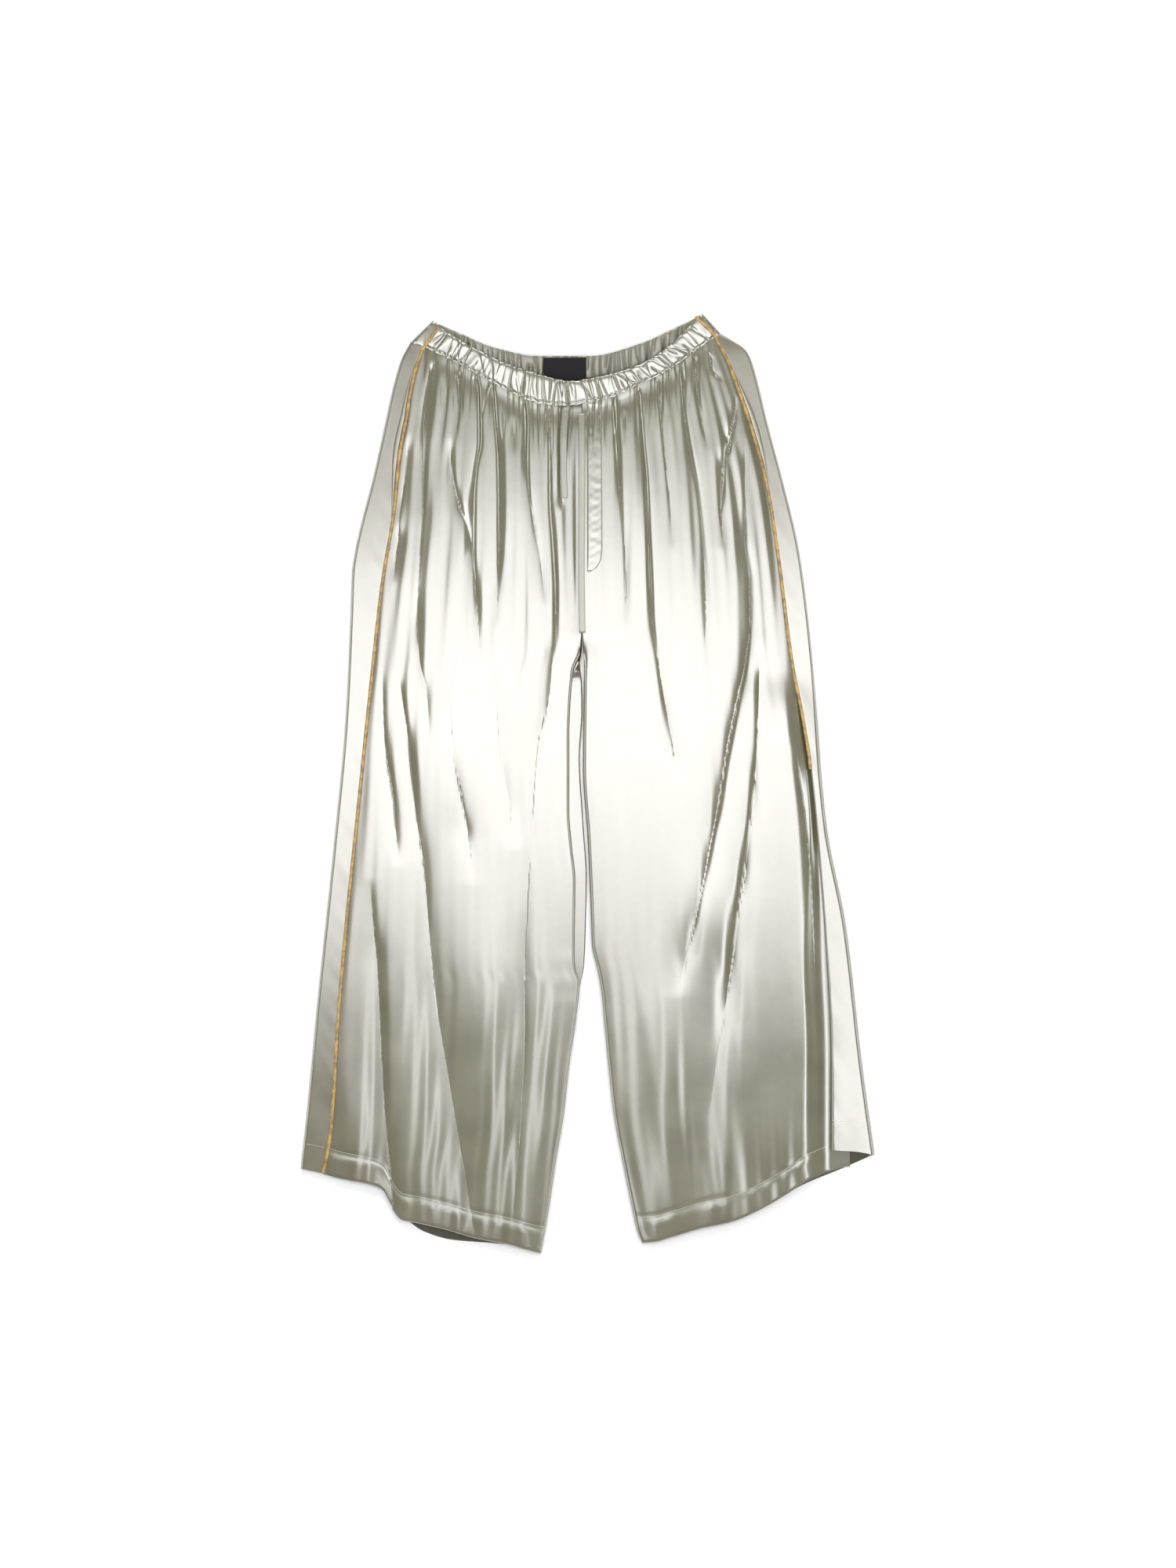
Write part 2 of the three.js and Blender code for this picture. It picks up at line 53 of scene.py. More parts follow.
# Reads a short table of (place, value) rows as one smooth line
def smoothTable(rows):
    rows = np.array(sorted(rows), float)
    keys, values = rows[:, 0], rows[:, 1]
    steps, rises = np.diff(keys), np.diff(values)
    slopes = rises / steps
    tangents = np.zeros(len(keys))
    tangents[0], tangents[-1] = slopes[0], slopes[-1]
    for k in range(1, len(keys) - 1):
        if slopes[k - 1] * slopes[k] > 0:     # no overshoot past a turning point
            before, after = 2 * steps[k] + steps[k - 1], steps[k] + 2 * steps[k - 1]
            tangents[k] = (before + after) / (before / slopes[k - 1] + after / slopes[k])

    def read(key):
        key = np.clip(np.asarray(key, float), keys[0], keys[-1])
        k = np.clip(np.searchsorted(keys, key) - 1, 0, len(keys) - 2)
        u = (key - keys[k]) / steps[k]
        a, b = 2 * u**3 - 3 * u**2 + 1, u**3 - 2 * u**2 + u
        c, d = 3 * u**2 - 2 * u**3, u**3 - u**2
        return a * values[k] + b * steps[k] * tangents[k] + c * values[k + 1] + d * steps[k] * tangents[k + 1]

    return read


def mix(a, b, share):
    return a + (b - a) * share


def ease(value, low, high):
    share = np.clip((value - low) / (high - low), 0, 1)
    return share * share * (3 - 2 * share)


def rise(distance, reach):
    return 1 - np.exp(-np.maximum(distance, 0) / reach)


# Share done of the stretch that starts at this step and is one step long
def stretch(step, start):
    return np.clip(step - start, 0, 1)


# Steps along a section of several stretches, each cut into its own count
def sectionSteps(counts):
    parts = [np.zeros(1)]
    for start, count in enumerate(counts):
        parts.append(start + np.linspace(0, 1, count + 1)[1:])
    return np.concatenate(parts)


# Grid of shares across and down a sheet
def sheetGrid(columns, rows):
    return np.meshgrid(np.linspace(0, 1, columns), np.linspace(0, 1, rows))


# Uneven waves in cloth, about one high: lean turns them away from running down the cloth
def ripple(seed, x, y, waves, longest, shortest, lean=0.0):
    source = np.random.default_rng(seed)
    total = 0
    for _ in range(waves):
        length = math.exp(source.uniform(math.log(shortest), math.log(longest)))
        angle = source.uniform(-1, 1) * math.pi * lean
        phase = source.uniform(0, 2 * math.pi)
        total = total + np.sin(2 * math.pi * (x * math.cos(angle) + y * math.sin(angle)) / length + phase)
    return total / math.sqrt(waves)


# Outlines seen from above. Down the legs a row is (y, x), along the band and hems (x, y).
outline = {
    "leftOuter": [
        (506, -203), (485, -214), (458, -222), (404, -234), (350, -246), (296, -260), (269, -266),
        (242, -270), (188, -272), (80, -277), (-82, -292), (-244, -309), (-379, -322), (-442, -329)],
    "rightOuter": [
        (515, 153), (507, 167), (498, 180), (489, 186), (471, 192), (414, 206), (342, 225), (269, 242),
        (188, 253), (80, 263), (-1, 269), (-55, 275), (-163, 296), (-325, 315), (-426, 329)],
    "leftSeam": [
        (500, -188), (480, -195), (454, -202), (422, -207), (379, -215), (311, -222), (231, -235),
        (97, -250), (-39, -264), (-166, -277), (-271, -286), (-406, -295), (-446, -303)],
    "rightSeam": [
        (508, 148), (489, 158), (454, 172), (403, 189), (340, 206), (256, 219), (140, 234),
        (72, 247), (19, 255), (-46, 262), (-104, 267), (-172, 272), (-321, 279), (-420, 279)],
    "leftInner": [
        (461, -7), (200, -7), (149, -9), (129, -16), (84, -20), (53, -21), (-32, -21), (-71, -18),
        (-112, -14), (-192, -15), (-213, -14), (-228, -9), (-271, -13), (-325, -21), (-379, -27),
        (-433, -36), (-487, -44), (-538, -53)],
    "leftInnerBehind": [
        (461, -7), (200, -7), (143, -7), (84, -6), (29, -9), (-44, -5), (-112, -1), (-157, -2),
        (-208, -4), (-235, -9), (-271, -13), (-325, -21), (-379, -27), (-433, -36), (-487, -44), (-538, -53)],
    "rightInner": [
        (461, -6), (200, -6), (134, -4), (17, -5), (-60, 0), (-151, 4), (-184, 5), (-216, 12), (-239, 16),
        (-271, 19), (-325, 24), (-379, 30), (-433, 40), (-487, 51), (-514, 57), (-526, 62)],
    "frontBandTop": [
        (-170, 523), (-147, 508), (-121, 494), (-96, 482), (-70, 473), (-18, 461), (8, 465),
        (34, 471), (60, 480), (85, 495), (111, 518), (124, 533)],
    "frontBandLow": [
        (-205, 506), (-187, 499), (-153, 483), (-126, 468), (-85, 446), (-64, 437), (-44, 433),
        (-28, 432), (3, 436), (26, 441), (54, 454), (81, 467), (106, 482), (126, 497), (153, 515)],
    "backBandTop": [
        (-178, 530), (-157, 521), (-108, 500), (-56, 490), (3, 490), (60, 504), (106, 525), (132, 538)],
    "backBandLow": [
        (-205, 506), (-171, 492), (-135, 482), (-82, 466), (-27, 461), (28, 468), (85, 487),
        (126, 503), (153, 515)],
    "leftFrontHem": [
        (-329, -442), (-304, -447), (-280, -453), (-243, -461), (-234, -466), (-228, -477), (-219, -494),
        (-212, -500), (-196, -503), (-158, -512), (-131, -520), (-90, -528), (-69, -534), (-53, -538)],
    "leftBackHem": [
        (-329, -442), (-280, -450), (-243, -458), (-234, -464), (-219, -493), (-208, -501),
        (-189, -514), (-156, -524), (-110, -528), (-83, -531), (-53, -538)],
    "rightFrontHem": [
        (62, -526), (76, -525), (98, -519), (128, -510), (164, -502), (189, -492), (208, -482),
        (228, -470), (249, -456), (270, -447), (293, -439)],
    "rightBackHem": [
        (60, -526), (98, -518), (164, -500), (208, -481), (228, -471), (249, -460), (290, -443), (329, -426)],
    "rightPleatHem": [(261, -418), (279, -420), (307, -422), (329, -426)],
}
line = {name: smoothTable(rows) for name, rows in outline.items()}

# How the cloth lies: heights over the surface, slopes, and where the legs part and the strip laps
lay = {
    "bandHeight": 7.0, "edgeHeight": 6.0, "seamHeight": 8.5, "hemHeight": 10.0, "inseamHeight": 10.0,
    "legPuff": 4.8, "lappedHeight": 4.5, "lowestTop": 3.2, "hemDepth": 27, "underBand": 1.5, "bandCrown": 1.6,
    "sideFold": 3.0, "stripSlope": 0.055, "stripReach": 30, "stripRipple": 0.1,
    "lapFold": 1.6, "lapSlope": 0.1, "lapStart": 130, "lapLength": 90,
    "pleatStart": 65, "pleatLength": 60, "pleatLift": 4.6, "pleatTuck": 0.5,
    "crotchY": 143, "crotchEase": 56, "inseamRoll": 4.0, "inseamFold": 1.5, "inseamTuck": 2.0,
}

# Creases of the front: a row per place, (y, x, depth, reach to the left, reach to the right)
creases = [
    # left hip, from the side seam to the middle
    [(400, -205, 0, 4, 4), (370, -207, 1.4, 4, 6), (330, -212, 1.4, 4, 6), (300, -216, 0.5, 4, 5),
     (278, -217, 1.5, 4, 6), (255, -220, 1.2, 4, 6), (230, -222, 0, 4, 4)],
    [(481, -177, 1.2, 2, 2), (449, -184, 2, 3, 3), (413, -188, 2.6, 4, 4.5), (359, -189, 2.8, 4.5, 5),
     (310, -189, 2.4, 4.5, 5), (276, -191, 1.8, 4, 4), (233, -193, 1.2, 5, 5), (184, -195, 2.4, 6, 5),
     (148, -193, 1.6, 6, 5), (98, -184, 1, 5, 5), (44, -180, 0, 5, 5)],
    [(468, -148, 2.5, 1.5, 2), (445, -147, 2, 2, 2.5), (413, -149, 0.8, 3, 3), (395, -150, 0, 3, 3)],
    [(395, -158, 0, 5, 3), (359, -156, 1.6, 5, 3), (323, -149, 2.2, 5, 3), (303, -141, 1.6, 5, 3.5),
     (275, -134, 0.7, 5, 4), (245, -130, 0, 5, 4)],
    [(469, -127, 2.6, 1.6, 1.2), (449, -124, 3.2, 1.8, 1.3), (395, -123, 3, 1.8, 1.4),
     (359, -128, 2.4, 2, 1.5), (323, -131, 2.8, 3, 2), (278, -132, 3, 5, 2.6), (233, -129, 2.4, 6, 3),
     (197, -126, 1.5, 6, 4.5), (165, -124, 0.7, 6, 6), (115, -121, 0, 6, 6)],
    [(458, -108, 2.6, 1.2, 1.4), (413, -105, 3, 1.5, 2.5), (377, -102, 3, 1.8, 3.5), (314, -101, 3, 2, 4.5),
     (269, -101, 2.8, 2.5, 5.5), (240, -102, 2, 3, 6), (212, -103, 0.9, 4, 6), (180, -104, 0, 4, 6)],
    [(420, -85, 0, 4, 4), (398, -85, 1, 4, 4), (376, -84, 0, 4, 4)],
    [(440, -72, 1.8, 2, 1.5), (413, -70, 3, 3.5, 1.5), (382, -70, 3, 3.5, 1.6), (341, -68, 1.8, 3.5, 2.5),
     (305, -63, 1.4, 4, 4), (260, -55, 1.2, 5, 5), (206, -49, 0, 5, 5)],
    [(427, -44, 1.6, 1.5, 2), (395, -43, 2, 1.8, 2.5), (323, -42, 2.6, 1.8, 3), (278, -39, 2.8, 2, 3.5),
     (215, -36, 2.6, 2.4, 4), (179, -36, 2.4, 3, 5), (134, -41, 2.2, 6, 7), (89, -46, 2.4, 9, 9),
     (40, -57, 2.2, 16, 12), (-40, -63, 1.7, 18, 14), (-130, -68, 1.7, 18, 13), (-200, -71, 2.3, 18, 9),
     (-299, -72, 2.9, 18, 9), (-400, -77, 2.3, 20, 10), (-480, -84, 1.2, 20, 11), (-510, -86, 0, 20, 12)],
    # beside the drawstring
    [(432, -31, 2, 1.2, 1), (400, -32, 2.6, 1.6, 1), (360, -32, 3, 1.6, 1), (326, -31, 3, 2.5, 1),
     (316, -30, 0, 2, 2)],
    [(442, -10, 4.5, 16, 3), (395, -10, 5.6, 22, 3), (320, -10, 6.4, 23, 3), (255, -10, 5.8, 21, 3),
     (200, -10, 4.4, 19, 3.5), (150, -10, 2.8, 17, 4), (100, -14, 1.3, 16, 5), (40, -16, 0, 14, 5)],
    # right hip
    [(442, 29, 1.8, 1.2, 1.6), (395, 33, 2.4, 1.5, 2.5), (341, 36, 1.6, 2, 4), (269, 42, 1.4, 3, 5),
     (215, 44, 1, 4, 5), (179, 44, 0, 4, 5)],
    [(449, 59, 2.4, 1.4, 1.2), (395, 63, 3, 3.5, 1.4), (350, 67, 3, 3.5, 1.5), (287, 70, 2.4, 3, 1.8),
     (233, 72, 2.8, 3, 2), (188, 74, 2.4, 4, 2.5), (143, 80, 2, 4, 5), (89, 89, 1.6, 4, 6),
     (35, 98, 1.2, 5, 6), (-1, 103, 0, 5, 6)],
    [(460, 80, 1.6, 2, 2), (422, 84, 1.8, 2, 3.5), (359, 90, 1.2, 3, 4), (305, 95, 0.8, 4, 4),
     (269, 97, 0, 4, 4)],
    [(478, 107, 2.2, 1.5, 2), (431, 110, 2.2, 2, 4), (386, 116, 2.4, 3, 5), (341, 125, 2.4, 4, 5),
     (287, 131, 2.2, 5, 5), (233, 134, 1.8, 5, 6), (188, 135, 1, 6, 6), (134, 133, 0, 6, 6)],
    [(488, 123, 2, 1.4, 1.6), (449, 126, 1.6, 2, 2.5), (413, 131, 1, 3, 4), (382, 138, 0, 3, 4)],
    [(490, 140, 1.6, 1.6, 2), (472, 144, 1.6, 2, 2.5), (462, 155, 0, 2, 2.5)],
    [(445, 171, 0, 3, 2), (422, 169, 2, 3.5, 1.8), (386, 161, 2.8, 4, 1.8), (359, 155, 3, 4.5, 2),
     (314, 153, 2.2, 4.5, 3), (287, 154, 1, 5, 4), (269, 155, 0, 5, 4)],
    [(400, 182, 0, 5, 4), (341, 180, 1.6, 5, 4), (278, 180, 2.4, 6, 4.5), (233, 185, 2.6, 6, 5),
     (188, 186, 3, 7, 5), (134, 180, 3.4, 8, 4), (89, 170, 3.8, 9, 4), (40, 160, 3.8, 9, 4),
     (-10, 152, 3.6, 9, 4.5), (-55, 144, 3.4, 9, 5), (-100, 135, 3, 9, 6), (-145, 126, 2.6, 10, 7),
     (-194, 114, 2.2, 12, 8), (-244, 103, 0, 12, 8)],
    # right leg
    [(165, 199, 0, 4, 6), (107, 196, 1.7, 4, 8), (50, 194, 2.3, 4, 9), (-1, 191, 2.9, 4, 9),
     (-55, 185, 3.5, 4, 10), (-100, 180, 4, 5, 11), (-145, 173, 4.2, 6, 11), (-190, 167, 4.4, 8, 12),
     (-225, 162, 4.4, 9, 12), (-270, 156, 3, 12, 14), (-320, 147, 1.3, 16, 16), (-390, 138, 0, 17, 17)],
    [(40, 236, 0, 6, 5), (0, 244, 1.2, 7, 5), (-60, 252, 1.6, 8, 5), (-150, 258, 1.2, 10, 6),
     (-260, 262, 0, 10, 6)],
    # left leg
    [(131, -218, 0, 6, 6), (70, -208, 1.9, 7, 5), (16, -202, 2.6, 7, 6), (-40, -196, 2.8, 9, 9),
     (-92, -188, 3.2, 10, 14), (-184, -180, 4, 14, 20), (-260, -172, 4.6, 22, 24),
     (-321, -162, 4.4, 30, 28), (-380, -152, 3.8, 30, 28), (-440, -142, 3, 30, 28),
     (-500, -132, 1.4, 28, 26), (-540, -122, 0, 22, 24)],
    [(130, -235, 0, 6, 6), (40, -232, 1.7, 8, 5), (-18, -223, 2.3, 8, 5), (-60, -219, 1.7, 8, 6),
     (-95, -216, 0, 8, 7)],
    [(-110, -249, 0, 9, 9), (-161, -245, 1.8, 13, 8), (-210, -241, 3.2, 16, 8), (-299, -237, 3.4, 17, 8),
     (-361, -234, 3.2, 17, 8), (-430, -228, 2.8, 16, 8), (-470, -224, 2.4, 14, 8),
     (-540, -222, 1.6, 14, 8)],
    [(116, -160, 0, 8, 8), (40, -154, 1.4, 9, 7), (-18, -144, 2.2, 9, 8), (-50, -138, 2.6, 12, 8),
     (-78, -134, 1.3, 14, 9), (-115, -131, 0, 14, 9)],
    [(150, -112, 0, 12, 12), (90, -105, 1.6, 14, 12), (30, -100, 1.6, 14, 12), (-20, -90, 1.6, 10, 12),
     (-75, -85, 0, 10, 12)],
]

# Soft swells, (x, y, height, reach across, reach down): they bend the light's edge into the long highlights
swells = [
    (-112, -250, 2.0, 30, 90), (-103, -370, 1.2, 26, 80),
    (-262, -410, 1.6, 18, 60), (-58, 60, 1.5, 16, 200), (-75, -470, 1.4, 16, 90), (90, -335, 2.4, 24, 120),
    (135, -140, 2.0, 30, 60), (160, -440, 1.8, 18, 90), (228, 120, 1.5, 14, 110), (-75, 330, 1.0, 20, 80),
    (60, 330, 0.8, 14, 80), (-160, 20, 1.5, 18, 60),
]

creaseSettings = {
    "rounding": 0.2, "bottom": 0.45,                       # a sharp valley, a little rounded
    "pinch": 0.8, "pinchReach": 1.8, "pinchDepth": 2.0,    # a deep crease closes on itself
}


# Depth of the creases, and how far their sides move together
def creaseShape(x, y):
    depth, shift = 0, 0
    for rows in creases:
        keys = np.array(rows, float)
        inside = (y <= keys[:, 0].max()) & (y >= keys[:, 0].min())
        place, deep, left, right = (smoothTable(list(zip(keys[:, 0], keys[:, k]))) for k in (1, 2, 3, 4))
        across = x - place(y)
        reach = np.where(across < 0, left(y), right(y))
        away = np.sqrt(across**2 + creaseSettings["rounding"]) - creaseSettings["bottom"]
        here = inside * np.maximum(deep(y), 0)
        depth = depth + here * np.exp(-away / reach)
        closing = np.minimum(1, here / creaseSettings["pinchDepth"])
        closing = closing * np.exp(-np.abs(across) / creaseSettings["pinchReach"])
        shift = shift - np.sign(across) * creaseSettings["pinch"] * closing
    return depth, shift


puckerSettings = {
    "spans": [(-0.5, 1.5), (-0.5, 0.55), (0.45, 1.5), (0.1, 0.9)],    # start and end across the band
    "shares": [0.5, 0.2, 0.2, 0.1],
    "bow": 1.2, "reach": (0.6, 1.7), "shallowest": 0.3, "fade": 0.2, "markReach": 0.9, "markDepth": 1.6,
}


# Short closed creases side by side, as elastic draws them: x is measured along the band, t across it
def puckers(seed, x, t, start, stop, count, deepest, lean, marks=()):
    source = np.random.default_rng(seed)
    rows = []
    for k in range(count):
        center = mix(start, stop, (k + source.uniform(0.05, 0.95)) / count)
        low, high = puckerSettings["spans"][source.choice(4, p=puckerSettings["shares"])]
        slant, bow = source.normal(0, lean), source.normal(0, puckerSettings["bow"])
        reach = source.uniform(*puckerSettings["reach"])
        deep = deepest * source.uniform(puckerSettings["shallowest"], 1)
        rows.append((center, slant, bow, low, high, reach, deep))
    low, high = puckerSettings["spans"][0]
    reach, deep = puckerSettings["markReach"], deepest * puckerSettings["markDepth"]
    rows += [(center, 0, 0, low, high, reach, deep) for center in marks]
    total, fade = 0, puckerSettings["fade"]
    for center, slant, bow, low, high, reach, deep in rows:
        away = np.abs(x - center - slant * (t - 0.5) - bow * 4 * t * (1 - t))
        within = ease(t, low - fade, low + fade) * (1 - ease(t, high - fade, high + fade))
        total = total - deep * np.exp(-away / reach) * within
    return total


# Shares from 0 to 1 down the garment: the legs part, the strip laps over, the front goes under it
def parted(y):
    half = lay["crotchEase"] / 2
    return ease(lay["crotchY"] - y, -half, half)


def lapLevel(y):
    return ease(lay["lapStart"] - y, 0, lay["lapLength"])


def pleated(y):
    return ease(lay["pleatStart"] - y, 0, lay["pleatLength"])


def evened(name, y, reach=25):
    return (line[name](y - reach) + line[name](y) + line[name](y + reach)) / 3


# Only the right strip laps over
def lapOn(side, y):
    return lapLevel(y) if side == "right" else 0 * y


def foldRadius(side, y):
    return lay["sideFold"] + lay["lapFold"] * lapOn(side, y)


# The side strip climbs gently from the fold to the seam
def seamLevel(side, y):
    fold, lapped = foldRadius(side, y), lapOn(side, y)
    width = np.abs(line[side + "Seam"](y) - line[side + "Outer"](y)) - fold
    most = lay["seamHeight"] + lapped * lay["pleatLift"] - 2 * fold
    return 2 * fold + np.minimum(most, mix(lay["stripSlope"], lay["lapSlope"], lapped) * width)


def stripHeight(side, x, y):
    fold = foldRadius(side, y)
    outer = line["leftOuter"](y) + fold if side == "left" else line["rightOuter"](y) - fold
    seam = line[side + "Seam"](y)
    share = np.clip((x - outer) / (seam - outer), 0, 1)
    fromWaist = line["frontBandLow"](seam) - y
    atSeam = mix(lay["bandHeight"], seamLevel(side, y), rise(fromWaist, lay["stripReach"]))
    waves = ripple(9, x, y, waves=10, longest=70, shortest=18, lean=0.3)
    return mix(2 * fold, atSeam, share) + lay["stripRipple"] * waves * share


# Front of the legs: how far each edge is felt in the cloth, and its small forms
face = {
    "splitAt": 2, "slowParting": 130, "partingReach": 50, "inseamReach": 30, "pressReach": 6,
    "seamReach": 40, "lapEdge": 4, "besideLap": (24, 36), "fall": (6, 30), "fallLength": 250,
    "hemReach": 45, "turnedEdge": 5, "turnedHeight": 0.5, "turnedRipple": 0.13,
    "grooveDepth": 0.3, "grooveAbove": 2.5, "grooveWidth": 1.8,
    "hemFloor": 1.8, "hemFloorReach": 12, "softness": 0.6, "waistReach": 15,
    "gatherSpan": (-188, 148), "gatherCount": 60, "gatherReach": 60, "gatherDepth": 1.7, "gatherFade": 0.8,
    "streakDepth": (0.12, 0.32), "streakRange": (50, 300), "streakReach": 20,
    "clothWidth": 300, "legsApart": 900,
}


# The turned hem stands up a little and is drawn in along its stitching
def hemShape(x, y, fromHem):
    turned = ease(lay["hemDepth"] - fromHem, 0, face["turnedEdge"])
    waves = ripple(77, x, y, waves=10, longest=70, shortest=18, lean=0.2)
    stitching = (fromHem - lay["hemDepth"] - face["grooveAbove"]) / face["grooveWidth"]
    groove = face["grooveDepth"] * np.exp(-(stitching**2))
    return turned * (face["turnedHeight"] + face["turnedRipple"] * waves) - groove


# Small gathers that start under the casing
def gathers(x, fromWaist):
    down = np.clip(fromWaist / face["gatherReach"], 0, 1)
    count, deepest = face["gatherCount"], face["gatherDepth"]
    drawn = puckers(23, x, down, *face["gatherSpan"], count, deepest, lean=3)
    return drawn * (1 - down) ** face["gatherFade"]


# Fine streaks that run down the cloth and spread with it
def streaks(y, onLeft, fromSeam, fromWaist):
    leftWidth = line["leftInner"](y) - line["leftSeam"](y)
    rightWidth = line["rightSeam"](y) - line["rightInner"](y)
    across = fromSeam / np.where(onLeft, leftWidth, rightWidth) * face["clothWidth"]
    across = across + np.where(onLeft, 0, face["legsApart"])
    depth = mix(*face["streakDepth"], ease(y, *face["streakRange"]))
    waves = ripple(71, across, y, waves=18, longest=70, shortest=16, lean=0.03)
    return depth * waves * rise(fromWaist, face["streakReach"])


def topHeight(x, y):
    onLeft = x < line["leftInner"](y) + face["splitAt"]
    fromSeam = np.where(onLeft, x - line["leftSeam"](y), line["rightSeam"](y) - x)
    fromInseam = np.where(onLeft, evened("leftInner", y) - x, x - evened("rightInner", y))
    fromHem = y - np.where(onLeft, line["leftFrontHem"](x), line["rightFrontHem"](x))
    fromWaist = line["frontBandLow"](x) - y

    # the legs part at once along the inseam, and slowly out in the cloth
    slowly = ease(lay["crotchY"] - y, -face["slowParting"], face["slowParting"])
    legs = mix(parted(y), slowly, np.clip(fromInseam / face["partingReach"], 0, 1))
    atInseam = mix(1, rise(fromInseam, face["inseamReach"]), legs)
    edge = mix(lay["edgeHeight"], lay["inseamHeight"], legs)

    # from the side seam the leg swells, beside the lap with a wider slope
    down = ease(-y, 0, face["fallLength"])
    besideLap = ease(fromSeam, -face["lapEdge"], mix(*face["besideLap"], down))
    swelling = mix(rise(fromSeam, face["seamReach"]), besideLap, np.where(onLeft, 0, lapLevel(y)))
    atRightSeam = mix(seamLevel("right", y), lay["seamHeight"], lapLevel(y))
    atSeam = np.where(onLeft, seamLevel("left", y), atRightSeam)
    full = mix(edge, mix(atSeam, lay["seamHeight"] + lay["legPuff"], swelling), atInseam)
    atHem = mix(np.minimum(lay["hemHeight"], full), full, rise(fromHem, face["hemReach"]))
    body = mix(lay["bandHeight"], atHem, rise(fromWaist, face["waistReach"])) + hemShape(x, y, fromHem)
    for cx, cy, height, across, along in swells:
        body = body + height * np.exp(-(((x - cx) / across) ** 2) - ((y - cy) / along) ** 2)

    # creases go no lower than the back of the cloth allows
    pressed = rise(fromInseam, face["pressReach"]) * legs + 1 - legs
    creased = body - creaseShape(x, y)[0] * pressed
    atTurn = 1 - rise(fromHem - lay["hemDepth"], face["hemFloorReach"])
    low = lay["lowestTop"] + face["hemFloor"] * atTurn
    creased = low + np.logaddexp(0, (creased - low) / face["softness"]) * face["softness"]
    creased = creased + gathers(x, fromWaist) + streaks(y, onLeft, fromSeam, fromWaist)

    # beside the lapped strip the cloth falls away under it
    fall = mix(*face["fall"], down)
    underPleat = np.where(onLeft, 0, ease(fall - fromSeam, 0, fall) * lapLevel(y))
    return mix(creased, lay["lappedHeight"], underPleat)


# Distance along and up a curve of this length that turns through this angle, at share q
def bend(length, angle, q):
    curl = np.maximum(angle, 0.002) / length    # never quite straight
    return np.sin(curl * length * q) / curl, (1 - np.cos(curl * length * q)) / curl


# Makes one piece of the garment from points in millimetres
def addPiece(name, points, faces, material):
    mesh = bpy.data.meshes.new(name)
    mesh.from_pydata((np.array(points) * mm).tolist(), [], faces)
    mesh.polygons.foreach_set("use_smooth", np.ones(len(faces), bool))
    mesh.update()
    piece = bpy.data.objects.new(name, mesh)
    bpy.context.scene.collection.objects.link(piece)
    piece.data.materials.append(material)
    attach(piece, "root")
    return piece


# Makes a sheet from grids of points, with a UV map that follows the cloth
def sheetMesh(name, x, y, z, material):
    rows, columns = x.shape
    index = np.arange(rows * columns).reshape(rows, columns)
    quads = np.stack([index[:-1, :-1], index[1:, :-1], index[1:, 1:], index[:-1, 1:]], -1).reshape(-1, 4)
    piece = addPiece(name, np.stack([x, y, z], -1).reshape(-1, 3), quads.tolist(), material)
    middle = rows // 2
    across = np.cumsum(np.hypot(np.diff(x[middle]), np.diff(z[middle])))
    u = np.tile(np.concatenate([[0], across]) * mm, (rows, 1)).reshape(-1)
    v = (y * mm).reshape(-1)
    loops = quads.reshape(-1)
    uv = piece.data.uv_layers.new(name="cloth")
    uv.data.foreach_set("uv", np.stack([u[loops], v[loops]], -1).reshape(-1).astype(np.float32))
    return piece


# Shader maths
class Socket:
    def __init__(self, tree, link):
        self.tree, self.link = tree, link

    def join(self, operation, first, second):
        node = self.tree.nodes.new("ShaderNodeMath")
        node.operation = operation
        for slot, value in enumerate((first, second)):
            if isinstance(value, Socket):
                self.tree.links.new(value.link, node.inputs[slot])
            else:
                node.inputs[slot].default_value = value
        return Socket(self.tree, node.outputs[0])

    def __add__(self, other):
        return self.join("ADD", self, other)

    def __radd__(self, other):
        return self.join("ADD", other, self)

    def __sub__(self, other):
        return self.join("SUBTRACT", self, other)

    def __rsub__(self, other):
        return self.join("SUBTRACT", other, self)

    def __mul__(self, other):
        return self.join("MULTIPLY", self, other)

    def __rmul__(self, other):
        return self.join("MULTIPLY", other, self)


# A material whose nodes are added by their type, settings and sockets
class Finish:
    def __init__(self, name):
        self.material = bpy.data.materials.new(name)
        self.material.use_nodes = True
        self.tree = self.material.node_tree
        self.shader = self.tree.nodes["Principled BSDF"]

    def node(self, kind, settings=None, sockets=None, output=0):
        made = self.tree.nodes.new(kind)
        for key, value in (settings or {}).items():
            if key == "stops":
                while len(made.color_ramp.elements) < len(value):
                    made.color_ramp.elements.new(0.5)
                for stop, (place, color) in zip(made.color_ramp.elements, value):
                    stop.position, stop.color = place, (*color, 1)
            else:
                setattr(made, key, value)
        for key, value in (sockets or {}).items():
            if isinstance(value, Socket):
                self.tree.links.new(value.link, made.inputs[key])
            else:
                made.inputs[key].default_value = value
        return Socket(self.tree, made.outputs[output])

    def place(self):
        return self.node("ShaderNodeTexCoord", output="Object")

    def feed(self, **values):
        for key, value in values.items():
            socket = self.shader.inputs[key.replace("_", " ")]
            if isinstance(value, Socket):
                self.tree.links.new(value.link, socket)
            else:
                socket.default_value = value


satinSettings = {
    "light": (0.160, 0.147, 0.088), "deep": (0.124, 0.112, 0.063), "tint": 1.0, "mottle": 22,
    "roughness": 0.18, "spread": 0.06, "ior": 2.7,
    "weave": 1800, "weaveHeight": 0.00004, "weaveStrength": 0.06,
}


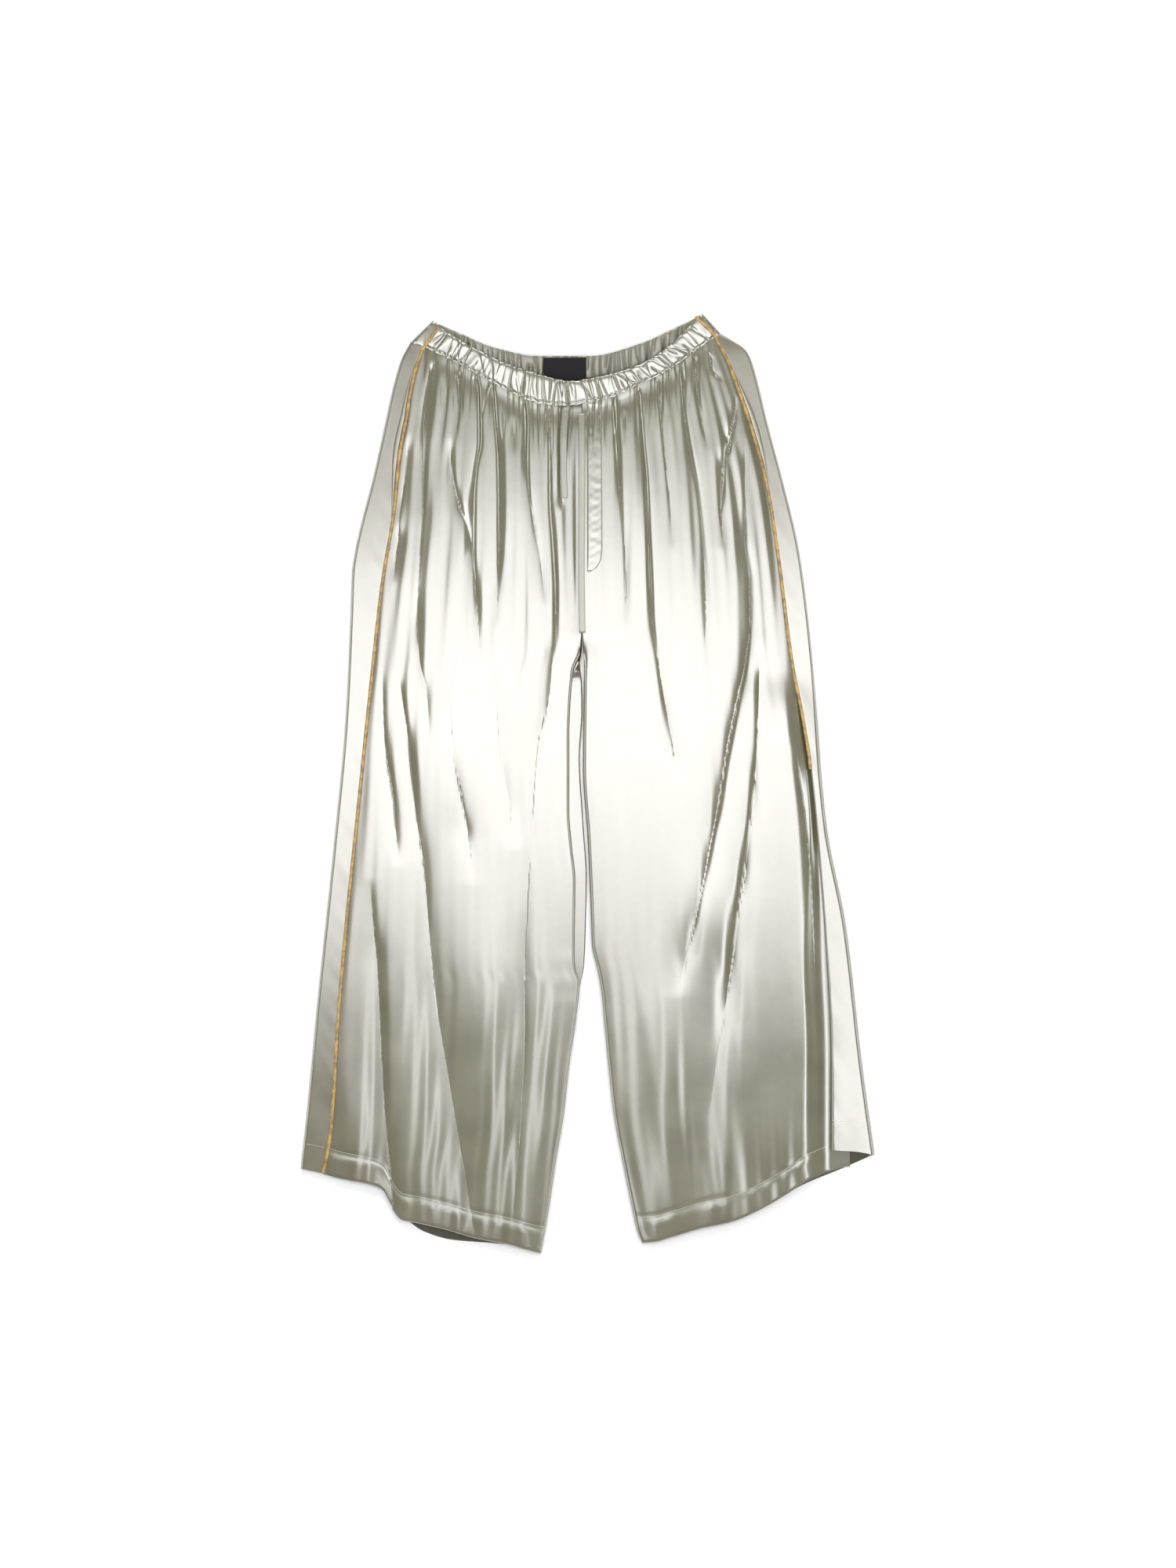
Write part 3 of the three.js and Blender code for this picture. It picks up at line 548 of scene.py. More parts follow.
def satinFinish(name, **changes):
    settings = {**satinSettings, **changes}
    deep, light = ([part * settings["tint"] for part in settings[key]] for key in ("deep", "light"))
    cloth = Finish(name)
    place = cloth.place()
    clouds = {"Vector": place, "Scale": settings["mottle"], "Detail": 3}
    mottle = cloth.node("ShaderNodeTexNoise", None, clouds)
    color = cloth.node("ShaderNodeValToRGB", {"stops": [(0.3, deep), (0.7, light)]}, {"Fac": mottle})
    threads = {"Vector": place, "Scale": settings["weave"], "Detail": 2}
    grain = cloth.node("ShaderNodeTexNoise", None, threads)
    weave = {"Height": grain, "Strength": settings["weaveStrength"], "Distance": settings["weaveHeight"]}
    bump = cloth.node("ShaderNodeBump", None, weave)
    roughness = settings["roughness"] + settings["spread"] * mottle
    cloth.feed(Base_Color=color, Roughness=roughness, IOR=settings["ior"], Normal=bump)
    return cloth.material


satin = satinFinish("satin")
satinInside = satinFinish("satinInside", roughness=0.34, ior=2.1, tint=0.85)
# a copy of the satin darkened to 0.42: painted shade for the hollows under the hems
satinPaintedShade = satinFinish("satinPaintedShade", roughness=0.5, ior=1.5, tint=0.42)
ribbonSatin = satinFinish("ribbonSatin", roughness=0.3, ior=2.4, tint=1.1)

goldSettings = {
    "light": (0.44, 0.26, 0.03), "deep": (0.15, 0.085, 0.012), "roughness": 0.42, "ior": 1.9,
    "twist": 160, "twistHeight": 0.0004, "twistStrength": 0.5,
}


def pipingFinish():
    cloth = Finish("goldPiping")
    size = {"Scale": goldSettings["twist"], "Detail": 4}
    twist = cloth.node("ShaderNodeTexNoise", None, {"Vector": cloth.place(), **size})
    stops = [(0.35, goldSettings["deep"]), (0.62, goldSettings["light"])]
    color = cloth.node("ShaderNodeValToRGB", {"stops": stops}, {"Fac": twist})
    height = {"Strength": goldSettings["twistStrength"], "Distance": goldSettings["twistHeight"]}
    bump = cloth.node("ShaderNodeBump", None, {"Height": twist, **height})
    cloth.feed(Base_Color=color, Roughness=goldSettings["roughness"], IOR=goldSettings["ior"], Normal=bump)
    return cloth.material


gold = pipingFinish()

weaveSettings = {
    "light": (0.02, 0.02, 0.022), "deep": (0.006, 0.006, 0.007), "roughness": 0.7, "shine": 0.15,
    "threads": 420, "wander": 1.5, "threadHeight": 0.0002, "threadStrength": 0.5,
}


def labelFinish():
    cloth = Finish("labelWeave")
    bands = {"wave_type": "BANDS", "bands_direction": "Y"}
    size = {"Scale": weaveSettings["threads"], "Distortion": weaveSettings["wander"], "Detail": 2}
    threads = cloth.node("ShaderNodeTexWave", bands, {"Vector": cloth.place(), **size})
    stops = [(0.2, weaveSettings["deep"]), (0.8, weaveSettings["light"])]
    color = cloth.node("ShaderNodeValToRGB", {"stops": stops}, {"Fac": threads})
    height = {"Strength": weaveSettings["threadStrength"], "Distance": weaveSettings["threadHeight"]}
    bump = cloth.node("ShaderNodeBump", None, {"Height": threads, **height})
    cloth.feed(Base_Color=color, Roughness=weaveSettings["roughness"], Normal=bump)
    cloth.feed(Specular_IOR_Level=weaveSettings["shine"])
    return cloth.material


blackWeave = labelFinish()

threadSettings = {"light": (0.86, 0.83, 0.74), "deep": (0.72, 0.68, 0.58), "roughness": 0.55, "fuzz": 900}


def threadFinish():
    thread = Finish("creamThread")
    size = {"Scale": threadSettings["fuzz"], "Detail": 2}
    fuzz = thread.node("ShaderNodeTexNoise", None, {"Vector": thread.place(), **size})
    stops = [(0.3, threadSettings["deep"]), (0.7, threadSettings["light"])]
    color = thread.node("ShaderNodeValToRGB", {"stops": stops}, {"Fac": fuzz})
    thread.feed(Base_Color=color, Roughness=threadSettings["roughness"])
    return thread.material


cream = threadFinish()
print("finishes made")

searchSettings = {"top": 440.0, "low": -490.0, "rounds": 14, "pull": 0.7}


# Finds the points of a panel between its curved ends
def placeDown(edgeX, topY, lowY, t):
    y = mix(searchSettings["top"], searchSettings["low"], t)
    for _ in range(searchSettings["rounds"]):
        x = edgeX(y)
        y = mix(y, mix(topY(x), lowY(x), t), searchSettings["pull"])
    return edgeX(y), y


frontSettings = {
    "columns": 340, "rollColumns": 8, "rows": 270, "underSeam": 0.2, "inseamGap": 0.1,
    "pinchFrom": 4, "hemUnder": 14, "hemRound": 0.9,
}


def frontPanel(side):
    left = side == "left"
    seam, inner = line[side + "Seam"], line[side + "Inner"]
    outward = -1 if left else 1
    flat, roll, rows = (frontSettings[key] for key in ("columns", "rollColumns", "rows"))
    step = np.concatenate([np.linspace(0, 1, flat), np.linspace(1, 2, roll + 1)[1:]])
    gridStep, gridT = np.meshgrid(step if left else step[::-1], np.linspace(0, 1, rows))
    length = lay["inseamRoll"] * math.pi / 2
    q = stretch(gridStep, 1)

    def rolled(y):
        return bend(length, parted(y) * math.pi / 2, q)

    def edgeX(y):
        room = line["rightOuter"](y) - 2 * lay["sideFold"] - seam(y)
        tucked = 0 if left else pleated(y) * room * lay["pleatTuck"]
        start = seam(y) + outward * (tucked - frontSettings["underSeam"])
        whole = bend(length, parted(y) * math.pi / 2, 1)[0]
        stop = inner(y) + outward * (whole + frontSettings["inseamGap"] * (1 - parted(y)))
        return mix(start, stop, np.minimum(gridStep, 1)) - outward * rolled(y)[0]

    def waistY(x):
        return line["frontBandLow"](x) + lay["underBand"]

    x, y = placeDown(edgeX, waistY, line[side + "FrontHem"], gridT)
    along, up = rolled(y)
    z = topHeight(x + outward * along, y) - up
    clearOfSeam = rise(np.abs(x - seam(y)) - frontSettings["pinchFrom"], frontSettings["pinchFrom"])
    x = x + creaseShape(x, y)[1] * clearOfSeam * (1 - q)
    return sheetMesh(side + "FrontSatin", *turnHem(x, y, z), satin)


# Turns the last rows under, so that the hem shows a soft folded edge
def turnHem(x, y, z):
    radius, under = frontSettings["hemRound"], frontSettings["hemUnder"]
    angles = np.linspace(0, math.pi, 6)[1:]
    rows = [(radius * math.sin(a), radius * (1 - math.cos(a))) for a in angles]
    rows += [(-under * 0.5, 2 * radius), (-under, 2 * radius)]
    x2 = np.concatenate([x, np.repeat(x[-1:], len(rows), 0)])
    y2 = np.concatenate([y, np.stack([y[-1] - out for out, _ in rows])])
    z2 = np.concatenate([z, np.stack([z[-1] - down for _, down in rows])])
    return x2, y2, z2


# Back of a leg, round the section from the inseam to the side seam
backSettings = {
    "rows": 300, "roll": 3.0, "inseamGap": 0.1, "seamGap": 0.2,
    "behind": 0.4, "flapLift": 0.15, "belowBand": 0.5,
    "counts": {"tuck": 8, "inseam": 8, "floor": 46, "side": 12, "strip": 26, "roll": 6},
}


def backPanel(side):
    left = side == "left"
    outer, seam, front = line[side + "Outer"], line[side + "Seam"], line[side + "Inner"]
    inner = line["leftInnerBehind"] if left else lambda at: line["rightInner"](at) - backSettings["behind"]
    lowFloor = line[side + "BackHem"]
    lowStrip = line["leftFrontHem"] if left else line["rightPleatHem"]
    outward = -1 if left else 1
    step = sectionSteps(backSettings["counts"].values())
    gridStep, gridT = np.meshgrid(step if left else step[::-1], np.linspace(0, 1, backSettings["rows"]))
    inseamLength, rollLength = math.pi * lay["inseamFold"], backSettings["roll"]

    def section(y):
        legs = parted(y)
        wrap = np.maximum(np.abs(inner(y) - front(y)) - lay["inseamFold"], lay["inseamTuck"])
        tuck = mix(lay["inseamTuck"], wrap, legs)
        turn = math.pi * legs
        wrapped = bend(inseamLength, turn, 1)
        reach = legs * lay["inseamFold"] + (1 - legs) * (inseamLength + tuck + backSettings["inseamGap"])
        floorStart = inner(y) + outward * reach
        fold = foldRadius(side, y)
        floorStop = outer(y) - outward * fold
        flap = tuck * (1 - stretch(gridStep, 0))
        inseam = bend(inseamLength, turn, 1 - stretch(gridStep, 1))
        sideRound = bend(math.pi * fold, math.pi, stretch(gridStep, 3))
        lapped = 0 if left else pleated(y)
        rollEnd = bend(rollLength, lapped * math.pi / 2, 1)[0]
        roll = bend(rollLength, lapped * math.pi / 2, stretch(gridStep, 5))
        stripStop = seam(y) + outward * (rollEnd + backSettings["seamGap"])
        stripX = mix(floorStop, stripStop, stretch(gridStep, 4))
        zones = [gridStep <= end for end in (1, 2, 3, 4, 6)]
        x = np.select(zones, [
            floorStart - outward * (wrapped[0] + flap * np.cos(turn)), floorStart - outward * inseam[0],
            mix(floorStart, floorStop, stretch(gridStep, 2)), floorStop + outward * sideRound[0],
            stripX - outward * roll[0]])
        z = np.select(zones, [
            wrapped[1] + flap * np.sin(turn) + backSettings["flapLift"] * flap * legs,
            inseam[1], 0 * y, sideRound[1], stripHeight(side, stripX, y) - roll[1]])
        return x, z

    overTop = stretch(gridStep, 3)

    def waistY(x):
        edge = mix(line["backBandLow"](x), line["frontBandLow"](x), overTop)
        return edge + lay["underBand"] * overTop - backSettings["belowBand"]

    def hemY(x):
        return mix(lowFloor(x), lowStrip(x), overTop)

    x, y = placeDown(lambda at: section(at)[0], waistY, hemY, gridT)
    return sheetMesh(side + "BackSatin", x, y, section(y)[1], satin)


for side in ("left", "right"):
    frontPanel(side)
    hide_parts(side + "_front_panel")
    backPanel(side)
    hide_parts(side + "_back_panel")

# Inside of the back hems, seen where the front hem rides up, in satin darkened to paint the shade under the
# hems
insideHems = {
    "left": (-240, -70), "right": (80, 322), "grid": (120, 14), "deep": 29, "overlength": 1.06,
    "lowEdge": 0.6, "lift": 0.9, "crown": 0.9, "ripple": 0.25,
}


def insideHem(side):
    start, stop = insideHems[side]
    s, t = sheetGrid(*insideHems["grid"])
    x = mix(start, stop, s)
    y = line[side + "BackHem"](x) + mix(lay["hemDepth"], insideHems["lowEdge"], t)
    z = insideHems["lift"] + insideHems["crown"] * (4 * t * (1 - t)) ** 0.5
    z = z + insideHems["ripple"] * ripple(81, x, y, waves=8, longest=30, shortest=10, lean=0.2)
    piece = sheetMesh(side + "InsideHem", x, y, z, satinPaintedShade)


for side in ("left", "right"):
    insideHem(side)
print("leg panels laid")

# Waistband: elastic casing, its puckers irregular
band = {
    "grid": (900, 30), "length": 340, "top": (-169.6, 123.6), "low": (-187.0, 147.6),
    "slits": (168, 206), "lift": 3.2, "crown": 1.4, "ripple": 0.35, "lowest": 4.6,
    "seamAt": 0.92, "seamWidth": 0.035, "seamDepth": 0.9, "scallop": 0.7,
    "edge": [(0.0, 1.2), (0.4, 2.0), (2.0, 2.4)],    # both long edges turn under: (inward, down)
}


def bandPoint(topX, lowX, topY, lowY, t):
    return mix(topX, lowX, t), mix(topY(topX), lowY(lowX), t)


def frontBand():
    s, t = sheetGrid(*band["grid"])
    topX, lowX = mix(*band["top"], s), mix(*band["low"], s)
    x, y = bandPoint(topX, lowX, line["frontBandTop"], line["frontBandLow"], t)
    along, fromEnd = s * band["length"], np.minimum(s, 1 - s) * band["length"]
    drawn = puckers(21, along, t, 0, band["length"], count=48, deepest=1.3, lean=3.5, marks=band["slits"])
    drawn = drawn + puckers(22, along, t, 0, band["length"], count=26, deepest=0.9, lean=9)
    crown = 1 - np.abs(2 * t - 1) ** 6
    z = lay["bandHeight"] + band["lift"] * (1 - t) + band["crown"] * crown
    z = z + drawn * (0.3 + 0.7 * rise(fromEnd, 8))
    z = z + band["ripple"] * ripple(24, along, 30 * t, waves=10, longest=40, shortest=12, lean=0.2)
    z = z - band["seamDepth"] * np.exp(-(((t - band["seamAt"]) / band["seamWidth"]) ** 2))
    z = np.maximum(z, band["lowest"])
    scallop = band["scallop"] * ripple(31, x, 0 * y, waves=10, longest=22, shortest=6)
    y = y + scallop * (ease(t, 0.5, 1) + 0.5 * ease(1 - t, 0.6, 1))
    low, top = band["edge"], band["edge"][::-1]
    x = np.concatenate([np.repeat(x[:1], len(top), 0), x, np.repeat(x[-1:], len(low), 0)])
    y = np.concatenate([[y[0] - inward for inward, _ in top], y, [y[-1] + inward for inward, _ in low]])
    z = np.concatenate([[z[0] - down for _, down in top], z, [z[-1] - down for _, down in low]])
    return sheetMesh("frontBandSatin", x, y, z, satin)


backBandSettings = {
    "strip": 24, "side": 16, "floor": 560, "rows": 24, "fold": 3.5,
    "right": (132.0, 153.0), "left": (-178.0, -203.0),              # folded ends, at the top and low edge
    "rightSeam": (123.9, 147.9), "leftSeam": (-169.9, -187.3),      # where it meets the front casing
    "span": (-203, 153), "outsideLift": 1.2, "outsidePucker": 0.7, "seamLift": 0.3,
    "insideLift": 2.2, "insideLean": 4.5, "insideCrown": 1.8, "insidePucker": 1.5,
}


# The back casing runs from the right seam round the fold, over the surface and round the left fold
def backBand():
    settings = backBandSettings
    strip, side, floorCount = settings["strip"], settings["side"], settings["floor"]
    step = sectionSteps([strip, side, floorCount, side, strip])
    s, t = np.meshgrid(step, np.linspace(0, 1, settings["rows"]))
    fold, length = settings["fold"], math.pi * settings["fold"]
    one = bend(length, math.pi, stretch(s, 1))
    two = bend(length, math.pi, 1 - stretch(s, 3))
    zones = [s <= end for end in (1, 2, 3, 4, 5)]
    share = stretch(s, 2)

    def across(edge):
        right, left = settings["right"][edge], settings["left"][edge]
        return np.select(zones, [
            mix(settings["rightSeam"][edge], right - fold, stretch(s, 0)), right - fold + one[0],
            mix(right - fold, left + fold, share), left + fold - two[0],
            mix(left + fold, settings["leftSeam"][edge], stretch(s, 4))])

    onFloor = np.select(zones, [0 * s, stretch(s, 1), 0 * s + 1, 1 - stretch(s, 3), 0 * s])

    def lowY(at):
        return mix(line["frontBandLow"](at), line["backBandLow"](at), onFloor)

    x, y = bandPoint(across(0), across(1), line["backBandTop"], lowY, t)
    both = 2 * fold
    height = np.select(zones, [0 * s + both, both - one[1], 0 * s, both - two[1], 0 * s + both])
    drawn = puckers(41, x, t, *settings["span"], count=60, deepest=1.8, lean=2)
    crown = np.clip(4 * t * (1 - t), 0, 1) ** 0.4
    outside = crown * (settings["outsideLift"] + settings["outsidePucker"] * drawn)
    piece = sheetMesh("backBandSatin", x, y, height + np.where(onFloor < 0.5, outside, 0), satin)

    # its inside face, which shows above the front casing
    inside = np.minimum(1, 8 * np.minimum(share, 1 - share))
    puffed = (settings["seamLift"] + crown) * (settings["insideCrown"] + settings["insidePucker"] * drawn)
    lift = inside * (settings["insideLift"] + settings["insideLean"] * (1 - t) ** 1.2 + puffed)
    shown = slice(strip + side + 1, strip + side + floorCount)
    x, y, t, lift = (grid[:, shown] for grid in (x, y, t, lift))
    wall = sheetMesh("backBandInside", x, y - 0.3 * (1 - t), lift, satinInside)
    return piece, wall


bandFront = frontBand()
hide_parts("front_waistband")
bandBack, bandBackInside = backBand()
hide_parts("back_waistband")
print("waistband gathered")


# Height of the cloth that the piping lies on
def upperFace(x, y):
    onBand = y > line["frontBandLow"](x)
    strip = np.where(x < 0, stripHeight("left", x, y), stripHeight("right", x, y))
    outside = (x < line["leftSeam"](y)) | (x > line["rightSeam"](y))
    onLegs = np.where(outside, strip, topHeight(x, y))
    return np.where(onBand, lay["bandHeight"] + lay["bandCrown"], onLegs)


# Tube or flat ribbon along points in millimetres: a lower power is squarer
def tubeMesh(name, route, width, height, material, sides=14, power=0.75):
    route = np.array(route, float)
    along = np.gradient(route, axis=0)
    along /= np.linalg.norm(along, axis=1)[:, None]
    side = np.cross(along, [0, 0, 1.0])
    side /= np.linalg.norm(side, axis=1)[:, None]
    up = np.cross(side, along)
    angles = np.linspace(0, 2 * math.pi, sides, endpoint=False)
    cosine, sine = np.cos(angles), np.sin(angles)
    a = np.sign(cosine) * np.abs(cosine) ** power
    b = np.sign(sine) * np.abs(sine) ** power
    width = np.broadcast_to(np.asarray(width, float), (len(route),))
    height = np.broadcast_to(np.asarray(height, float), (len(route),))
    acrossRing = side[:, None] * (a * width[:, None] / 2)[..., None]
    upRing = up[:, None] * (b * height[:, None] / 2)[..., None]
    points = (route[:, None] + acrossRing + upRing).reshape(-1, 3)
    faces = []
    for j in range(len(route) - 1):
        for i in range(sides):
            k = (i + 1) % sides
            faces.append((j * sides + i, j * sides + k, (j + 1) * sides + k, (j + 1) * sides + i))
    faces.append(tuple(range(sides))[::-1])
    last = (len(route) - 1) * sides
    faces.append(tuple(last + i for i in range(sides)))
    return addPiece(name, points, faces, material)


def lengthAlong(points):
    return np.concatenate([[0], np.cumsum(np.linalg.norm(np.diff(points, axis=0), axis=1))])


def smoothRoute(points, count):
    points = np.array(points, float)
    length = lengthAlong(points)
    at = np.linspace(0, length[-1], count)
    return np.stack([smoothTable(list(zip(length, points[:, k])))(at) for k in range(points.shape[1])], -1)


# Evens a row of heights, as a cord bridges small hollows
def softened(height, reach):
    count = 2 * reach + 1
    return np.convolve(np.pad(height, reach, mode="edge"), np.ones(count) / count, "valid")


pipingSettings = {
    "width": 3.8, "lift": 1.3, "uneven": 0.08, "beside": 1.6, "points": 40, "rings": 420, "belowBand": 4,
    "left": {"start": [(-169.8, 522), (-187, 500)], "stop": -446},
    "right": {"start": [(123.8, 534), (147.8, 509)], "stop": 16},
}


def sidePiping(side):
    start, stop = pipingSettings[side]["start"], pipingSettings[side]["stop"]
    seam = line[side + "Seam"]
    ys = np.linspace(start[1][1] - pipingSettings["belowBand"], stop, pipingSettings["points"])
    flat = smoothRoute(start + [(float(seam(at)), at) for at in ys], pipingSettings["rings"])
    x, y = flat[:, 0], flat[:, 1]
    beside = pipingSettings["beside"]
    height = softened(np.max([upperFace(x + d, y) for d in (-beside, 0, beside)], axis=0), 4)
    waves = ripple(51, y, 0 * y, waves=8, longest=30, shortest=7)
    width = pipingSettings["width"] * (1 + pipingSettings["uneven"] * waves)
    route = np.stack([x, y, height + pipingSettings["lift"]], -1)
    return tubeMesh(side + "GoldPiping", route, width, width, gold)


for side in ("left", "right"):
    cordEdge = sidePiping(side)
    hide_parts(side + "_piping")
print("piping run down the side seams")

# Drawstring: the two free ends, (x, y, lift off the cloth), each as its own solid
drawstring = {
    "short": [(-25, 428, 1), (-27, 400, 0.5), (-27.5, 364, 0), (-26, 327, 0)],
    "long": [(-7, 424, 1), (-6.5, 380, 0.5), (-6.5, 320, 0), (-7, 260, 0), (-6.5, 205, 0), (-6, 172, 0)],
    "width": 7.0, "thickness": 1.2, "clear": 1.6, "rings": 90,
    "across": (-3.5, -1.7, 0, 1.7, 3.5),    # where the cloth under it is felt
}


def drawstringEnd(name):
    x, y, lift = smoothRoute(drawstring[name], drawstring["rings"]).T
    height = softened(np.max([topHeight(x + d, y) for d in drawstring["across"]], axis=0), 5)
    route = np.stack([x, y, height + drawstring["clear"] + lift], -1)
    width, thickness = drawstring["width"], drawstring["thickness"]
    piece = tubeMesh(name + "Drawstring", route, width, thickness, ribbonSatin, sides=16, power=0.5)
    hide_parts("drawstring_" + name)


for name in ("short", "long"):
    drawstringEnd(name)
print("drawstring ends laid")

# Mock fly, stitched shut: its free edge is given as (y, x)
flySettings = {
    "foldX": -0.5, "edge": [(434, 16), (270, 17), (258, 16), (248, 11), (242, 4)], "top": 434, "low": 242,
    "width": 17, "lowRim": 40, "gap": 0.3, "thickness": 1.5, "rimRound": 1.2, "ripple": 0.05,
    "grid": (40, 200),
}


def flyFlap():
    edge = smoothTable(flySettings["edge"])
    s, t = sheetGrid(*flySettings["grid"])
    y = mix(flySettings["top"], flySettings["low"], 1 - (1 - t) ** 1.3)
    x = mix(flySettings["foldX"], edge(y), s)
    border = np.minimum(np.minimum(s, 1 - s) * flySettings["width"], (1 - t) * flySettings["lowRim"])
    rim = flySettings["thickness"] * np.clip(border / flySettings["rimRound"], 0, 1) ** 0.5
    waves = flySettings["ripple"] * ripple(61, y, x, waves=12, longest=24, shortest=7, lean=0.2)
    z = topHeight(x, y) + flySettings["gap"] + rim + waves * rise(border, 2)
    return sheetMesh("mockFly", x, y, z, satin)


fly = flyFlap()
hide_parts("fly_flap")

# Pocket lips beside the piping: (top, low, widest), pointed at both ends
pocketSettings = {
    "left": (482, 306, 8), "right": (472, 345, 8), "grid": (10, 120), "beside": 1.6, "gap": 0.3, "crown": 1.1,
    "flatWidth": 0.01, "meanWidth": 0.0065,    # in metres
}


def pocketLip(side):
    left = side == "left"
    top, low, widest = pocketSettings[side]
    outward = -1 if left else 1
    width = smoothTable([(top, 1), (mix(top, low, 0.5), widest), (low, 1)])
    s, t = sheetGrid(*pocketSettings["grid"])
    s = 1 - s if left else s
    y = mix(top, low, t)
    x = line[side + "Seam"](y) + outward * (pocketSettings["beside"] + width(y) * s)
    crown = pocketSettings["crown"] * np.sqrt(np.clip(4 * s * (1 - s), 0, 1))
    z = stripHeight(side, x, y) + pocketSettings["gap"] + crown
    return sheetMesh(side + "PocketLip", x, y, z, satin)


for side in ("left", "right"):
    lip = pocketLip(side)
    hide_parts(side + "_pocket_lip")

# Bare woven label on the inside of the back band
labelSettings = {
    "size": (49, 26), "center": (-26, 474.5), "turn": 0.01, "lift": 4.6, "lean": 4.2, "thickness": 0.5,
}


def bandLabel():
    s, t = np.meshgrid(np.linspace(-0.5, 0.5, 50), np.linspace(0.5, -0.5, 26))
    (wide, deep), (centerX, centerY) = labelSettings["size"], labelSettings["center"]
    dx, dy = s * wide, t * deep
    cosine, sine = math.cos(labelSettings["turn"]), math.sin(labelSettings["turn"])
    x = centerX + dx * cosine - dy * sine
    y = centerY + dx * sine + dy * cosine
    edge = np.minimum((0.5 - np.abs(s)) * wide, (0.5 - np.abs(t)) * deep)
    z = labelSettings["lift"] + labelSettings["lean"] * (t + 0.5) ** 1.2
    z = z + labelSettings["thickness"] * np.clip(edge, 0, 1) ** 0.5
    return sheetMesh("wovenLabel", x, y, z, blackWeave)


label = bandLabel()
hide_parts("band_label")
print("fly, pockets and label laid")

# Stitches: short threads set along a line, each with its ends sunk a little into the cloth.
# The profile's rows are (share along the stitch, girth, lift).
stitchSettings = {
    "pitch": 2.6, "drawn": (0.12, 0.88), "thread": 0.5, "corners": 6,
    "profile": ((0, 0.25, -0.05), (0.25, 0.9, 0.15), (0.75, 0.9, 0.15), (1, 0.25, -0.05)),
    "hems": (("left", 30, -298, -49), ("right", 29, 58, 274)),
    "strips": (("right", "rightPleatHem", 30, 280, 323), ("right", "rightPleatHem", 34, 280, 323),
               ("left", "leftFrontHem", 30, -322, -301)),
}


def stitchRow(name, x, y, z):
    points = np.stack([x, y, z], -1)
    length = lengthAlong(points)
    pitch, corners = stitchSettings["pitch"], stitchSettings["corners"]
    vertices, faces = [], []
    for k in range(int(length[-1] / pitch)):
        spots = [(k + part) * pitch for part in stitchSettings["drawn"]]
        start, stop = (np.array([np.interp(at, length, points[:, c]) for c in range(3)]) for at in spots)
        along = stop - start
        size = np.linalg.norm(along)
        along /= size
        side = np.cross(along, [0, 0, 1.0])
        side /= np.linalg.norm(side)
        up = np.cross(side, along)
        base = len(vertices)
        for share, girth, lift in stitchSettings["profile"]:
            center = start + along * size * share + up * lift
            for corner in range(corners):
                angle = corner * 2 * math.pi / corners
                offset = side * math.cos(angle) + up * math.sin(angle)
                vertices.append(center + offset * girth * stitchSettings["thread"] / 2)
        for ring in range(len(stitchSettings["profile"]) - 1):
            for corner in range(corners):
                after = (corner + 1) % corners
                a, b = base + ring * corners, base + (ring + 1) * corners
                faces.append((a + corner, a + after, b + after, b + corner))
    piece = addPiece(name, vertices, faces, cream)


for side, offset, start, stop in stitchSettings["hems"]:
    x = np.linspace(start, stop, 160)
    y = line[side + "FrontHem"](x) + offset
    stitchRow(side + "HemStitches", x, y, topHeight(x, y))
for side, hem, offset, start, stop in stitchSettings["strips"]:
    x = np.linspace(start, stop, 60)
    y = line[hem](x) + offset
    stitchRow(f"{side}StripStitches{offset}", x, y, stripHeight(side, x, y))
print("hems stitched")

# Floor, in metres
floorSettings = {"half": 6, "level": -0.0005, "color": (0.93, 0.93, 0.93, 1), "roughness": 0.9}

